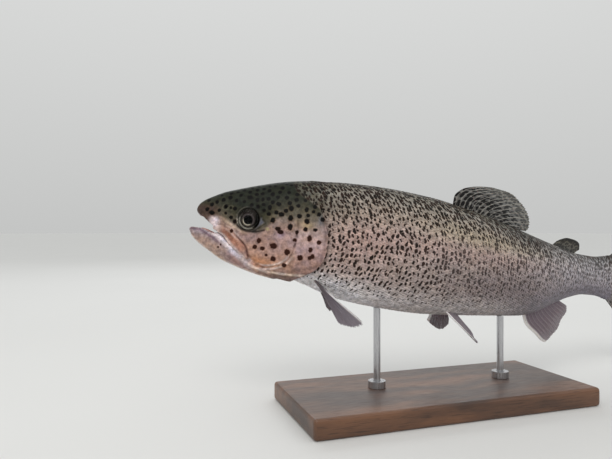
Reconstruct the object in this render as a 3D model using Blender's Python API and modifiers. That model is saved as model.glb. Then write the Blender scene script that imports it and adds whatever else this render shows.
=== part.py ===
"""A life-size rainbow trout, swimming, held over a plain display stand by two rods.

The fish is first modelled straight, in its own frame. There x runs from the snout to the tail, y to the
fish's right side and z up, all as shares of the standard length, which is measured from the snout to the
end of the tail stem. The last step bends that frame along the swimming curve and sets it over the stand.
"""

import math

import bmesh
import bpy
import numpy as np
from mathutils import Matrix, Vector

# Sizes in metres.
STANDARD_LENGTH = 0.455
AXIS_HEIGHT = 0.130
GAP = 0.0003
BASE_SIZE = (0.26, 0.11, 0.016)
BASE_EDGE_RADIUS = 0.003
ROD_RADIUS = 0.003
COLLAR_RADIUS = 0.0075
COLLAR_HEIGHT = 0.006

# The swimming curve: the heading turns from the head's to the tail's, and swings back over the tail fin.
HEAD_HEADING = math.radians(-15.8)
BODY_TURN = math.radians(36.0)
TAIL_TURN_BACK = math.radians(21.6)
BODY_TURN_SPAN = (0.15, 0.95)
TAIL_TURN_SPAN = (0.86, 1.16)
NOSE_UP = math.radians(7.2)
MIDDLE_OF_FISH = 0.45

# From here on, lengths are shares of the standard length.
THIN_CUT = GAP / STANDARD_LENGTH
MILLIMETRE = 0.001 / STANDARD_LENGTH

# Outlines of the flesh: pairs of place along the body and height, or half width.
BACK_LINE = (
    (-0.0065, 0.0270), (-0.0030, 0.0370), (0.006, 0.0458), (0.023, 0.0560), (0.040, 0.0648),
    (0.067, 0.0745), (0.103, 0.0860), (0.139, 0.0960), (0.176, 0.1033), (0.213, 0.1080), (0.269, 0.1120),
    (0.32, 0.1130), (0.42, 0.1080), (0.53, 0.0920), (0.62, 0.0760), (0.745, 0.0560), (0.86, 0.0450),
    (0.93, 0.0458), (1.02, 0.0580),
)
HEAD_UNDERSIDE = (
    (-0.0065, 0.0270), (-0.0030, 0.0200), (0.004, 0.0138), (0.016, 0.0052), (0.028, -0.0040),
    (0.040, -0.0090), (0.052, -0.0170), (0.066, -0.0300), (0.082, -0.0430), (0.105, -0.0595),
    (0.143, -0.0795), (0.175, -0.0840), (0.26, -0.1000),
)
BELLY_LINE = (
    (0.14, -0.0760), (0.20, -0.0860), (0.24, -0.0985), (0.28, -0.1080), (0.34, -0.1140), (0.42, -0.1175),
    (0.50, -0.1140), (0.60, -0.1080), (0.66, -0.1045), (0.70, -0.0975), (0.76, -0.0770), (0.83, -0.0570),
    (0.90, -0.0465), (0.95, -0.0458), (1.02, -0.0570),
)
HEAD_HALF_WIDTH = (
    (-0.0065, 0.0), (0.002, 0.0125), (0.020, 0.0210), (0.050, 0.0295), (0.090, 0.0385), (0.140, 0.0480),
    (0.190, 0.0560), (0.225, 0.0590), (0.26, 0.0595),
)
TRUNK_HALF_WIDTH = (
    (0.14, 0.0440), (0.22, 0.0555), (0.30, 0.0600), (0.40, 0.0620), (0.50, 0.0585), (0.60, 0.0495),
    (0.70, 0.0385), (0.80, 0.0275), (0.90, 0.0190), (0.97, 0.0125), (1.02, 0.0060),
)
WIDEST_HEIGHT = (
    (-0.0065, 0.0270), (0.04, 0.0120), (0.09, -0.0050), (0.15, -0.0130), (0.22, -0.0090), (0.35, -0.0020),
    (0.60, -0.0080), (0.80, -0.0020), (1.02, 0.0),
)
# How square the section is: 2 is an ellipse. The head is flat beneath, where the lower jaw lies on it.
UPPER_SQUARENESS = ((-0.0065, 2.0), (0.10, 2.3), (0.20, 2.2), (0.30, 2.0), (1.02, 2.0))
LOWER_SQUARENESS = ((-0.0065, 2.0), (0.03, 3.0), (0.10, 3.2), (0.15, 2.4), (0.22, 2.1), (1.02, 2.0))

# The lower jaw is dropped, so that a wedge stays open in front between it and the snout.
JAW_TIP, JAW_END = -0.0185, 0.150
JAW_UPPER_LINE = (
    (-0.0185, -0.0100), (-0.0165, -0.0072), (-0.0106, -0.0046), (0.0050, -0.0041), (0.0147, -0.0062),
    (0.0245, -0.0090), (0.0344, -0.0128), (0.0445, -0.0188), (0.065, -0.0345), (0.085, -0.0480),
    (0.110, -0.0646), (0.150, -0.0810),
)
JAW_LOWER_LINE = (
    (-0.0185, -0.0100), (-0.0162, -0.0150), (-0.0096, -0.0230), (-0.0013, -0.0303), (0.0068, -0.0358),
    (0.0168, -0.0420), (0.0266, -0.0470), (0.0369, -0.0532), (0.0468, -0.0585), (0.070, -0.0665),
    (0.110, -0.0768), (0.150, -0.0828),
)
JAW_HALF_WIDTH = (
    (-0.0185, 0.0), (-0.0080, 0.0100), (0.010, 0.0170), (0.033, 0.0230), (0.070, 0.0305), (0.110, 0.0378),
    (0.150, 0.0400),
)
JAW_UPPER_SQUARENESS, JAW_LOWER_SQUARENESS = 3.5, 2.0

# The rear edge of the head and gill covers, as place along the body for each height.
GILL_EDGE = (
    (-0.13, 0.165), (-0.085, 0.180), (-0.068, 0.203), (-0.057, 0.2185), (-0.043, 0.229), (-0.020, 0.2353),
    (0.001, 0.2349), (0.025, 0.2285), (0.049, 0.2188), (0.064, 0.2103), (0.09, 0.197), (0.13, 0.185),
)
GILL_COVER_FRONT = (
    (-0.068, 0.160), (-0.046, 0.173), (-0.027, 0.1775), (0.0, 0.1813), (0.021, 0.1811), (0.042, 0.1777),
    (0.062, 0.184),
)
GILL_COVER_BOTTOM, GILL_COVER_TOP = -0.068, 0.062
GILL_COVER_DEPTH = 0.010
TAIL_STEM_FROM = 0.690
FLESH_END = 1.02

# The maxilla, the strip of bone along the upper lip, overhangs the lower jaw: place, height and half width.
MAXILLA_LINE = (
    (0.0405, -0.0015, 0.0055), (0.0545, -0.0083, 0.0084), (0.067, -0.0192, 0.0098), (0.079, -0.0295, 0.0103),
    (0.0905, -0.0400, 0.0085), (0.0975, -0.0480, 0.0045),
)
MAXILLA_DEPTH = 0.0045
MAXILLA_PROUD = 0.0022
CHEEK_SHARE = 0.96

EYE_CENTRE = (0.0921, 0.0205)
EYE_RADIUS = 0.0200
EYE_HALF_DEPTH = 0.0095
EYE_SUNK = 0.0050
EYE_TURN = math.radians(12.0)

MOUTH_CENTRE = (0.030, 0.0, -0.0040)
MOUTH_RADII = (0.060, 0.0150, 0.0170)
TONGUE_CENTRE = (0.036, 0.0, -0.0190)
TONGUE_RADII = (0.034, 0.0085, 0.0055)
TONGUE_TILT = math.radians(24.0)

ROD_PLACES = (0.335, 0.605)

# Fins: the root line, sunk in the flesh, then the outer edge, each from front to back. y is for one side.
DORSAL_ROOT = ((0.478, 0.0, 0.094), (0.550, 0.0, 0.082), (0.618, 0.0, 0.070))
DORSAL_EDGE = (
    (0.4800, 0.0, 0.1165), (0.4895, 0.0, 0.1280), (0.5036, 0.0, 0.1362), (0.5358, 0.0, 0.1437),
    (0.5728, 0.001, 0.1474), (0.6077, 0.002, 0.1447), (0.6399, 0.003, 0.1363), (0.6658, 0.004, 0.1214),
    (0.6810, 0.005, 0.1005), (0.6852, 0.005, 0.0820), (0.6780, 0.004, 0.0735), (0.6560, 0.002, 0.0735),
)
ADIPOSE_ROOT = ((0.756, 0.0, 0.0500), (0.800, 0.0, 0.0420), (0.840, 0.0, 0.0380))
ADIPOSE_EDGE = (
    (0.775, 0.0, 0.0625), (0.792, 0.0, 0.0690), (0.819, 0.0, 0.0748), (0.850, 0.0, 0.0738),
    (0.8715, 0.0, 0.0650), (0.8715, 0.0, 0.0560), (0.856, 0.0, 0.0500),
)
ANAL_ROOT = ((0.676, 0.0, -0.0930), (0.730, 0.0, -0.0780), (0.786, 0.0, -0.0600))
ANAL_EDGE = (
    (0.6900, 0.0, -0.1190), (0.7239, 0.001, -0.1389), (0.750, 0.003, -0.1530), (0.765, 0.004, -0.1560),
    (0.790, 0.004, -0.1440), (0.818, 0.003, -0.1120), (0.836, 0.002, -0.0860), (0.832, 0.0, -0.0740),
)
CAUDAL_ROOT = (
    (1.004, 0.0, 0.0540), (1.016, 0.0, 0.0270), (1.020, 0.0, 0.0), (1.016, 0.0, -0.0270),
    (1.004, 0.0, -0.0530),
)
CAUDAL_EDGE = (
    (1.035, 0.0, 0.0760), (1.110, -0.004, 0.1120), (1.172, -0.010, 0.1190), (1.166, -0.010, 0.0800),
    (1.142, -0.007, 0.0350), (1.134, -0.006, 0.0), (1.142, -0.007, -0.0350), (1.166, -0.010, -0.0800),
    (1.172, -0.010, -0.1180), (1.110, -0.004, -0.1100), (1.035, 0.0, -0.0750),
)
PECTORAL_ROOT = ((0.213, 0.0250, -0.0665), (0.224, 0.0225, -0.0735), (0.236, 0.0180, -0.0800))
PECTORAL_EDGE = (
    (0.2960, 0.1190, -0.1250), (0.3000, 0.1160, -0.1330), (0.2867, 0.1000, -0.1416),
    (0.2745, 0.0850, -0.1422), (0.2655, 0.0700, -0.1345), (0.2610, 0.0580, -0.1255),
)
PELVIC_ROOT = ((0.472, 0.0190, -0.1020), (0.484, 0.0160, -0.1025), (0.498, 0.0110, -0.1030))
PELVIC_EDGE_LEFT = (
    (0.5186, 0.0560, -0.1495), (0.5270, 0.0550, -0.1560), (0.5350, 0.0430, -0.1560),
    (0.5363, 0.0310, -0.1480), (0.5310, 0.0230, -0.1370),
)
PELVIC_EDGE_RIGHT = (
    (0.4700, 0.0370, -0.1310), (0.4921, 0.0480, -0.1431), (0.5150, 0.0570, -0.1495),
    (0.5236, 0.0540, -0.1480), (0.5222, 0.0380, -0.1374), (0.5140, 0.0240, -0.1250),
)

COLOURS = {
    "flesh": (0.44, 0.38, 0.34),
    "head": (0.46, 0.33, 0.28),
    "fin": (0.30, 0.27, 0.24),
    "eye": (0.03, 0.03, 0.02),
    "mouth": (0.62, 0.45, 0.42),
    "wood": (0.10, 0.05, 0.025),
    "steel": (0.60, 0.60, 0.62),
}
ROUGHNESS = {"flesh": 0.35, "head": 0.3, "fin": 0.4, "eye": 0.05, "mouth": 0.4, "wood": 0.4, "steel": 0.25}

SIDES = {"left": -1, "right": 1}


def smooth_line(points):
    """A function through the points that bends smoothly and never overshoots them."""
    x, y = np.array(points, float).T
    slope = np.diff(y) / np.diff(x)
    inner = np.zeros(len(x) - 2)
    same_way = slope[:-1] * slope[1:] > 0
    inner[same_way] = 2 / (1 / slope[:-1][same_way] + 1 / slope[1:][same_way])
    rate = np.concatenate([[slope[0]], inner, [slope[-1]]])

    def at(place):
        i = int(np.clip(np.searchsorted(x, place) - 1, 0, len(x) - 2))
        width = x[i + 1] - x[i]
        s = min(max((place - x[i]) / width, 0.0), 1.0)
        start = (1 + 2 * s) * (1 - s) ** 2 * y[i] + s * (1 - s) ** 2 * width * rate[i]
        end = s * s * (3 - 2 * s) * y[i + 1] - s * s * (1 - s) * width * rate[i + 1]
        return float(start + end)

    return at


def round_nosed(points):
    """A smooth line that leaves its first point at a right angle to the body, as a blunt tip does."""
    tip = points[0][0]
    line = smooth_line([(math.sqrt(x - tip), y) for x, y in points])
    return lambda place: line(math.sqrt(max(place - tip, 0.0)))


def smooth_curve(points):
    """A function from 0 to 1 along a smooth curve through points in space."""
    share = np.concatenate([[0], np.cumsum(np.linalg.norm(np.diff(np.array(points), axis=0), axis=1))])
    share /= share[-1]
    lines = [smooth_line(list(zip(share, axis))) for axis in np.array(points).T]
    return lambda s: Vector([line(s) for line in lines])


def squared(value, squareness):
    return math.copysign(abs(value) ** (2 / squareness), value)


class Flesh:
    """The section of a length of flesh at each place along the body."""

    def __init__(self, top, bottom, half_width, widest, upper, lower):
        self.top, self.bottom, self.half_width = top, bottom, half_width
        self.widest, self.upper, self.lower = widest, upper, lower

    def ring(self, place, sides, grow=0.0, widen=0.0):
        top, bottom = self.top(place) + grow, self.bottom(place) - grow
        half_width = max(self.half_width(place) + grow + widen, 0.0005)
        middle = min(max(self.widest(place), bottom + 0.2 * (top - bottom)), top - 0.2 * (top - bottom))
        points = []
        for k in range(sides):
            angle = 2 * math.pi * k / sides
            upper_half = math.cos(angle) >= 0
            squareness = (self.upper if upper_half else self.lower)(place)
            height = top - middle if upper_half else middle - bottom
            y = half_width * squared(math.sin(angle), squareness)
            z = middle + height * squared(math.cos(angle), squareness)
            points.append((place, y, z))
        return points

    def half_width_at(self, place, z):
        """Half the width at one height of the section."""
        upper_half = z >= self.widest(place)
        reach = (self.top if upper_half else self.bottom)(place) - self.widest(place)
        squareness = (self.upper if upper_half else self.lower)(place)
        share = min(abs((z - self.widest(place)) / reach), 1.0)
        return self.half_width(place) * (1 - share**squareness) ** (1 / squareness)


HEAD = Flesh(
    round_nosed(BACK_LINE), round_nosed(HEAD_UNDERSIDE), round_nosed(HEAD_HALF_WIDTH),
    smooth_line(WIDEST_HEIGHT), smooth_line(UPPER_SQUARENESS), smooth_line(LOWER_SQUARENESS),
)
TRUNK = Flesh(
    round_nosed(BACK_LINE), smooth_line(BELLY_LINE), smooth_line(TRUNK_HALF_WIDTH),
    smooth_line(WIDEST_HEIGHT), smooth_line(UPPER_SQUARENESS), smooth_line(LOWER_SQUARENESS),
)
JAW_TOP, JAW_BOTTOM = round_nosed(JAW_UPPER_LINE), round_nosed(JAW_LOWER_LINE)
JAW = Flesh(
    JAW_TOP, JAW_BOTTOM, round_nosed(JAW_HALF_WIDTH),
    lambda place: 0.6 * JAW_TOP(place) + 0.4 * JAW_BOTTOM(place),
    lambda place: JAW_UPPER_SQUARENESS, lambda place: JAW_LOWER_SQUARENESS,
)


class SwimmingCurve:
    """Carries points from the straight fish to the bent one in the world, in metres."""

    def __init__(self):
        self.place = np.linspace(-0.1, 1.3, 701)
        self.heading = (
            HEAD_HEADING
            + BODY_TURN * self.eased(BODY_TURN_SPAN)
            - TAIL_TURN_BACK * self.eased(TAIL_TURN_SPAN)
        )
        step = np.diff(self.place, prepend=self.place[0])
        self.x = np.cumsum(np.cos(self.heading) * math.cos(NOSE_UP) * step)
        self.y = np.cumsum(np.sin(self.heading) * math.cos(NOSE_UP) * step)
        middle_x = np.interp(MIDDLE_OF_FISH, self.place, self.x)
        middle_y = np.interp(MIDDLE_OF_FISH, self.place, self.y)
        self.x, self.y = self.x - middle_x, self.y - middle_y

    def eased(self, span):
        share = np.clip((self.place - span[0]) / (span[1] - span[0]), 0, 1)
        return share * share * (3 - 2 * share)

    def __call__(self, point):
        place, side, up = point
        heading = float(np.interp(place, self.place, self.heading))
        along = Vector((np.interp(place, self.place, self.x), np.interp(place, self.place, self.y), 0))
        along.z = -math.sin(NOSE_UP) * (place - MIDDLE_OF_FISH)
        to_right = Vector((-math.sin(heading), math.cos(heading), 0))
        to_back = Vector(
            (math.sin(NOSE_UP) * math.cos(heading), math.sin(NOSE_UP) * math.sin(heading), math.cos(NOSE_UP))
        )
        world = (along + side * to_right + up * to_back) * STANDARD_LENGTH
        return world + Vector((0, 0, AXIS_HEIGHT))


CURVE = SwimmingCurve()


def new_object(name, collection, make):
    """An object whose mesh the function make builds in a bmesh."""
    mesh = bpy.data.meshes.new(name)
    bm = bmesh.new()
    make(bm)
    bmesh.ops.recalc_face_normals(bm, faces=bm.faces)
    bm.to_mesh(mesh)
    bm.free()
    obj = bpy.data.objects.new(name, mesh)
    collection.objects.link(obj)
    return obj


def loft(name, collection, rings, tip=None):
    """A closed skin through rings of points, ending in a tip if there is one, or in a flat face."""

    def make(bm):
        rows = [[bm.verts.new(p) for p in ring] for ring in rings]
        for near, far in zip(rows, rows[1:]):
            for k in range(len(near)):
                n = (k + 1) % len(near)
                bm.faces.new((near[k], near[n], far[n], far[k]))
        bm.faces.new(rows[-1])
        if tip is None:
            bm.faces.new(rows[0])
        else:
            point = bm.verts.new(tip)
            for k in range(len(rows[0])):
                bm.faces.new((point, rows[0][k], rows[0][(k + 1) % len(rows[0])]))

    return new_object(name, collection, make)


def eased_places(start, end, count):
    """Places from start to end, close together at the start, without the start itself."""
    return [start + (end - start) * (i / count) ** 2 for i in range(1, count + 1)]


def even_places(start, end, count):
    return [start + (end - start) * i / (count - 1) for i in range(count)]


def head_flesh(name, collection, grow=0.0, widen=0.0):
    snout = BACK_LINE[0][0]
    rings = [HEAD.ring(p, 28, grow, widen) for p in eased_places(snout, 0.26, 16)]
    return loft(name, collection, rings, tip=(snout - grow, 0, BACK_LINE[0][1]))


def trunk_flesh(name, collection, grow=0.0):
    rings = [TRUNK.ring(p, 24, grow) for p in even_places(0.15, FLESH_END + grow, 32)]
    return loft(name, collection, rings)


def jaw_flesh(name, collection, grow=0.0):
    rings = [JAW.ring(p, 20, grow) for p in eased_places(JAW_TIP, JAW_END, 12)]
    return loft(name, collection, rings, tip=(JAW_TIP - grow, 0, JAW_UPPER_LINE[0][1]))


def prism(name, collection, outline, y_from, y_to):
    """A flat outline in the plane of symmetry, carried across the body."""

    def make(bm):
        face = bm.faces.new([bm.verts.new((x, y_from, z)) for x, z in outline])
        sweep = bmesh.ops.extrude_face_region(bm, geom=[face])["geom"]
        moved = [v for v in sweep if isinstance(v, bmesh.types.BMVert)]
        bmesh.ops.translate(bm, verts=moved, vec=(0, y_to - y_from, 0))

    return new_object(name, collection, make)


def ellipsoid(name, collection, centre, radii, segments=20, tilt=0.0, turn=0.0):
    def make(bm):
        bmesh.ops.create_uvsphere(bm, u_segments=segments, v_segments=segments // 2 + 2, radius=1.0)
        bmesh.ops.scale(bm, vec=radii, verts=bm.verts)
        bmesh.ops.rotate(bm, cent=(0, 0, 0), matrix=Matrix.Rotation(tilt, 3, "Y"), verts=bm.verts)
        bmesh.ops.rotate(bm, cent=(0, 0, 0), matrix=Matrix.Rotation(turn, 3, "Z"), verts=bm.verts)
        bmesh.ops.translate(bm, vec=centre, verts=bm.verts)

    return new_object(name, collection, make)


def spread(outline, distance):
    """The outline, given as points in turn, moved outwards by a distance."""
    points = np.array(outline)
    edge = np.roll(points, -1, axis=0) - points
    edge /= np.linalg.norm(edge, axis=1, keepdims=True)
    after = np.stack([edge[:, 1], -edge[:, 0]], axis=1)
    before = np.roll(after, 1, axis=0)
    mitre = (before + after) / (1 + np.sum(before * after, axis=1, keepdims=True))
    twice_area = np.sum(points[:, 0] * np.roll(points[:, 1], -1) - np.roll(points[:, 0], -1) * points[:, 1])
    return points + mitre * distance * (1 if twice_area > 0 else -1)


def boolean(obj, other, operation):
    modifier = obj.modifiers.new(operation.lower(), "BOOLEAN")
    modifier.operation = operation
    modifier.object = other


def apply_modifiers(obj):
    bpy.context.view_layer.update()
    evaluated = obj.evaluated_get(bpy.context.evaluated_depsgraph_get())
    mesh = bpy.data.meshes.new_from_object(evaluated)
    obj.modifiers.clear()
    obj.data = mesh


def head_outline(grow):
    """Everything in front of the rear edge of the gill covers."""
    edge = smooth_line(GILL_EDGE)
    heights = even_places(GILL_EDGE[-1][0], GILL_EDGE[0][0], 20)
    return [(-0.1, heights[0])] + [(edge(z) + grow, z) for z in heights] + [(-0.1, heights[-1])]


def gill_cover_outline():
    front = smooth_line(GILL_COVER_FRONT)
    heights = even_places(GILL_COVER_BOTTOM, GILL_COVER_TOP, 12)
    return [(front(z), z) for z in heights] + [(0.3, GILL_COVER_TOP), (0.3, GILL_COVER_BOTTOM)]


def head_core(name, collection, depth):
    """The inside of the rear of the head, a depth under its surface."""
    return loft(name, collection, [HEAD.ring(p, 28, -depth) for p in even_places(0.12, 0.262, 7)])


def make_gill_covers(collection, helpers, head):
    """The plates of bone over the gills, let into the sides of the head with a thin cut all round them."""
    covers = []
    for side, sign in SIDES.items():
        cover = head_flesh(f"gill_cover_{side}", collection)
        shape = prism(f"cover_outline_{side}", helpers, gill_cover_outline(), sign * 0.003, sign * 0.1)
        boolean(cover, shape, "INTERSECT")
        boolean(cover, head_core(f"cover_inside_{side}", helpers, GILL_COVER_DEPTH), "DIFFERENCE")
        boolean(cover, prism(f"cover_rear_{side}", helpers, head_outline(0.0), -0.2, 0.2), "INTERSECT")
        outline = spread(gill_cover_outline(), THIN_CUT)
        pocket = prism(f"cover_pocket_{side}", helpers, outline, sign * 0.002, sign * 0.11)
        boolean(pocket, head_core(f"cover_floor_{side}", helpers, GILL_COVER_DEPTH + THIN_CUT), "DIFFERENCE")
        boolean(head, pocket, "DIFFERENCE")
        covers.append(cover)
    return covers


def maxilla_strip(name, collection, sign, grow=0.0):
    """A strip of bone that follows the side of the head down and back from the snout."""
    last = len(MAXILLA_LINE) - 1
    place_at, height_at, width_at = (
        smooth_line([(i / last, row[k]) for i, row in enumerate(MAXILLA_LINE)]) for k in range(3)
    )
    rings = []
    for i in range(11):
        share = i / 10
        before, after = max(share - 0.05, 0), min(share + 0.05, 1)
        along = Vector((place_at(after) - place_at(before), 0, height_at(after) - height_at(before)))
        along.normalize()
        across = Vector((-along.z, 0, along.x))
        end = (-1 if i == 0 else 1 if i == 10 else 0) * grow
        centre = Vector((place_at(share), 0, height_at(share))) + along * end
        cheek = HEAD.half_width(centre.x) * CHEEK_SHARE
        ring = []
        for k in range(10):
            angle = 2 * math.pi * k / 10
            point = centre + across * (width_at(share) + grow) * squared(math.cos(angle), 3.0)
            middle = cheek + (MAXILLA_PROUD - MAXILLA_DEPTH) / 2
            half_depth = (MAXILLA_PROUD + MAXILLA_DEPTH) / 2 + grow
            point.y = sign * (middle + half_depth * squared(math.sin(angle), 3.0))
            ring.append(tuple(point))
        rings.append(ring)
    return loft(name, collection, rings)


def make_head(collection, helpers):
    head = head_flesh("head", collection)
    boolean(head, prism("head_region", helpers, head_outline(0.0), -0.2, 0.2), "INTERSECT")
    parts = [head, *make_gill_covers(collection, helpers, head)]
    for side, sign in SIDES.items():
        parts.append(maxilla_strip(f"maxilla_{side}", collection, sign))
        boolean(head, maxilla_strip(f"maxilla_slot_{side}", helpers, sign, THIN_CUT), "DIFFERENCE")
    boolean(head, ellipsoid("mouth_hollow", helpers, MOUTH_CENTRE, MOUTH_RADII, 16), "DIFFERENCE")
    return parts


def make_lower_jaw(collection, helpers):
    jaw = jaw_flesh("lower_jaw", collection)
    boolean(jaw, head_flesh("jaw_rest", helpers, grow=THIN_CUT), "DIFFERENCE")
    boolean(jaw, ellipsoid("jaw_hollow", helpers, MOUTH_CENTRE, MOUTH_RADII, 16), "DIFFERENCE")
    for side, sign in SIDES.items():
        boolean(jaw, maxilla_strip(f"jaw_slot_{side}", helpers, sign, THIN_CUT), "DIFFERENCE")
    tongue = ellipsoid("tongue", collection, TONGUE_CENTRE, TONGUE_RADII, 12, TONGUE_TILT)
    bed_radii = [r + THIN_CUT for r in TONGUE_RADII]
    boolean(jaw, ellipsoid("tongue_bed", helpers, TONGUE_CENTRE, bed_radii, 12, TONGUE_TILT), "DIFFERENCE")
    return [jaw, tongue]


def make_eyes(collection, helpers, head):
    """Shallow domes in the sides of the head, turned a little forwards with the taper of the snout."""
    eyes = []
    place, height = EYE_CENTRE
    for side, sign in SIDES.items():
        centre = (place, sign * (HEAD.half_width_at(place, height) - EYE_SUNK), height)
        turn = sign * EYE_TURN
        radii = (EYE_RADIUS, EYE_HALF_DEPTH, EYE_RADIUS)
        eyes.append(ellipsoid(f"eye_{side}", collection, centre, radii, 16, 0.0, turn))
        socket_radii = [r + THIN_CUT for r in radii]
        socket = ellipsoid(f"socket_{side}", helpers, centre, socket_radii, 16, 0.0, turn)
        boolean(head, socket, "DIFFERENCE")
    return eyes


def make_trunk(collection, helpers):
    """The trunk from the gill slits to the vent, and the tail stem behind it."""
    parts = []
    for name, start, end in (("trunk", 0.0, TAIL_STEM_FROM), ("tail_stem", TAIL_STEM_FROM + THIN_CUT, 1.2)):
        part = trunk_flesh(name, collection)
        stretch = ((start, -0.2), (end, -0.2), (end, 0.2), (start, 0.2))
        boolean(part, prism(name + "_length", helpers, stretch, -0.2, 0.2), "INTERSECT")
        parts.append(part)
    boolean(parts[0], prism("gill_slit", helpers, head_outline(THIN_CUT), -0.2, 0.2), "DIFFERENCE")
    return parts


def fin(name, collection, root, edge, rays, steps, thickness, flesh, sign=1):
    """A plate fanned from a root line to an outer edge, thinner at the edge, cut where it meets flesh."""
    root_at, edge_at = smooth_curve(root), smooth_curve(edge)
    root_thickness, edge_thickness = (t * MILLIMETRE for t in thickness)

    def make(bm):
        rows = []
        for step in range(steps + 1):
            share = step / steps
            points = [root_at(r / rays).lerp(edge_at(r / rays), share) for r in range(rays + 1)]
            rows.append([bm.verts.new((p.x, sign * p.y, p.z)) for p in points])
        for near, far in zip(rows, rows[1:]):
            for k in range(rays):
                bm.faces.new((near[k], near[k + 1], far[k + 1], far[k]))

    plate = new_object(name, collection, make)
    towards_root = plate.vertex_groups.new(name="towards_root")
    for step in range(steps + 1):
        row = range(step * (rays + 1), (step + 1) * (rays + 1))
        towards_root.add(list(row), (1 - step / steps) ** 1.5, "REPLACE")
    solidify = plate.modifiers.new("thickness", "SOLIDIFY")
    solidify.thickness = root_thickness
    solidify.offset = 0.0
    solidify.vertex_group = towards_root.name
    solidify.thickness_vertex_group = edge_thickness / root_thickness
    plate.modifiers.new("flat faces", "TRIANGULATE")
    for part in flesh:
        boolean(plate, part, "DIFFERENCE")
    return plate


def make_fins(collection, helpers):
    body = trunk_flesh("fin_rest_on_trunk", helpers, grow=THIN_CUT)
    fins = [
        fin("dorsal_fin", collection, DORSAL_ROOT, DORSAL_EDGE, 12, 5, (2.2, 0.7), [body]),
        fin("adipose_fin", collection, ADIPOSE_ROOT, ADIPOSE_EDGE, 8, 4, (3.6, 1.4), [body]),
        fin("anal_fin", collection, ANAL_ROOT, ANAL_EDGE, 10, 5, (2.2, 0.7), [body]),
        fin("caudal_fin", collection, CAUDAL_ROOT, CAUDAL_EDGE, 20, 6, (3.7, 0.7), [body]),
    ]
    for side, sign in SIDES.items():
        chest = f"pectoral_fin_{side}"
        fins.append(fin(chest, collection, PECTORAL_ROOT, PECTORAL_EDGE, 11, 5, (2.5, 0.7), [body], sign))
        edge = PELVIC_EDGE_LEFT if side == "left" else PELVIC_EDGE_RIGHT
        fins.append(fin(f"pelvic_fin_{side}", collection, PELVIC_ROOT, edge, 8, 5, (2.4, 0.7), [body], sign))
    return fins


def set_over_stand(obj):
    """Settles an object's shape, bends it along the swimming curve and triangulates it."""
    apply_modifiers(obj)
    bm = bmesh.new()
    bm.from_mesh(obj.data)
    for vertex in bm.verts:
        vertex.co = CURVE(vertex.co)
    bmesh.ops.triangulate(bm, faces=bm.faces)
    bm.to_mesh(obj.data)
    bm.free()


def make_stand(collection, helpers):
    base = new_object("stand_base", collection, lambda bm: bmesh.ops.create_cube(bm, size=1.0))
    width, depth, height = BASE_SIZE
    base.data.transform(Matrix.Diagonal((width, depth, height, 1.0)))
    base.data.transform(Matrix.Translation((0, 0, height / 2)))
    bevel = base.modifiers.new("rounded edges", "BEVEL")
    bevel.width = BASE_EDGE_RADIUS
    bevel.segments = 3
    apply_modifiers(base)
    parts = [base]
    body = trunk_flesh("rod_rest", helpers, grow=THIN_CUT)
    set_over_stand(body)
    for name, place in zip(("front", "rear"), ROD_PLACES):
        foot = CURVE((place, 0.0, 0.0))
        bottom = height + GAP
        rod = cylinder(f"stand_rod_{name}", collection, foot, ROD_RADIUS, bottom, foot.z, 20)
        boolean(rod, body, "DIFFERENCE")
        top = height + COLLAR_HEIGHT
        collar = cylinder(f"stand_collar_{name}", collection, foot, COLLAR_RADIUS, bottom, top, 28)
        bore = cylinder(f"collar_bore_{name}", helpers, foot, ROD_RADIUS + GAP, height - 0.01, foot.z, 20)
        boolean(collar, bore, "DIFFERENCE")
        parts += [rod, collar]
    for part in parts:
        apply_modifiers(part)
    return parts


def cylinder(name, collection, foot, radius, bottom, top, segments):
    def make(bm):
        bmesh.ops.create_cone(
            bm, cap_ends=True, segments=segments, radius1=radius, radius2=radius, depth=top - bottom
        )
        bmesh.ops.translate(bm, vec=(foot.x, foot.y, (bottom + top) / 2), verts=bm.verts)

    return new_object(name, collection, make)


def material_of(name):
    for word, kind in (
        ("rod", "steel"), ("collar", "steel"), ("base", "wood"), ("fin", "fin"), ("eye", "eye"),
        ("tongue", "mouth"), ("trunk", "flesh"), ("tail", "flesh"),
    ):
        if word in name:
            return kind
    return "head"


def paint(obj):
    """Gives an object a material of its own, of its kind's colour."""
    kind = material_of(obj.name)
    material = bpy.data.materials.new(obj.name)
    material.use_nodes = True
    shader = material.node_tree.nodes["Principled BSDF"]
    shader.inputs["Base Color"].default_value = (*COLOURS[kind], 1.0)
    shader.inputs["Roughness"].default_value = ROUGHNESS[kind]
    shader.inputs["Metallic"].default_value = 1.0 if kind == "steel" else 0.0
    obj.data.materials.clear()
    obj.data.materials.append(material)
    obj.data.shade_smooth()
    obj.data.set_sharp_from_angle(angle=math.radians(40))


def collection_named(name):
    made = bpy.data.collections.new(name)
    bpy.context.scene.collection.children.link(made)
    return made


def main():
    for obj in list(bpy.data.objects):
        bpy.data.objects.remove(obj)
    trout = collection_named("rainbow_trout")
    helpers = collection_named("helpers")
    fish = make_head(trout, helpers)
    fish += make_lower_jaw(trout, helpers)
    fish += make_eyes(trout, helpers, fish[0])
    fish += make_trunk(trout, helpers)
    fish += make_fins(trout, helpers)
    for part in fish:
        set_over_stand(part)
    stand = make_stand(trout, helpers)
    for helper in list(helpers.objects):
        bpy.data.objects.remove(helper)
    bpy.data.collections.remove(helpers)
    for part in fish + stand:
        paint(part)


main()
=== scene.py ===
"""The looks of a life-size rainbow trout model on its display stand.

The fish is made straight, in its own frame: x from the snout to the tail, y to its right and z up, all as
shares of the standard length, as in the model's own source. Skin, scales, fins and eyes are painted there by
functions of that frame, so that skin and scales carry the same markings. The last step bends each piece along
the swimming curve, into metres over the stand.
"""

import math
from contextlib import contextmanager

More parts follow.
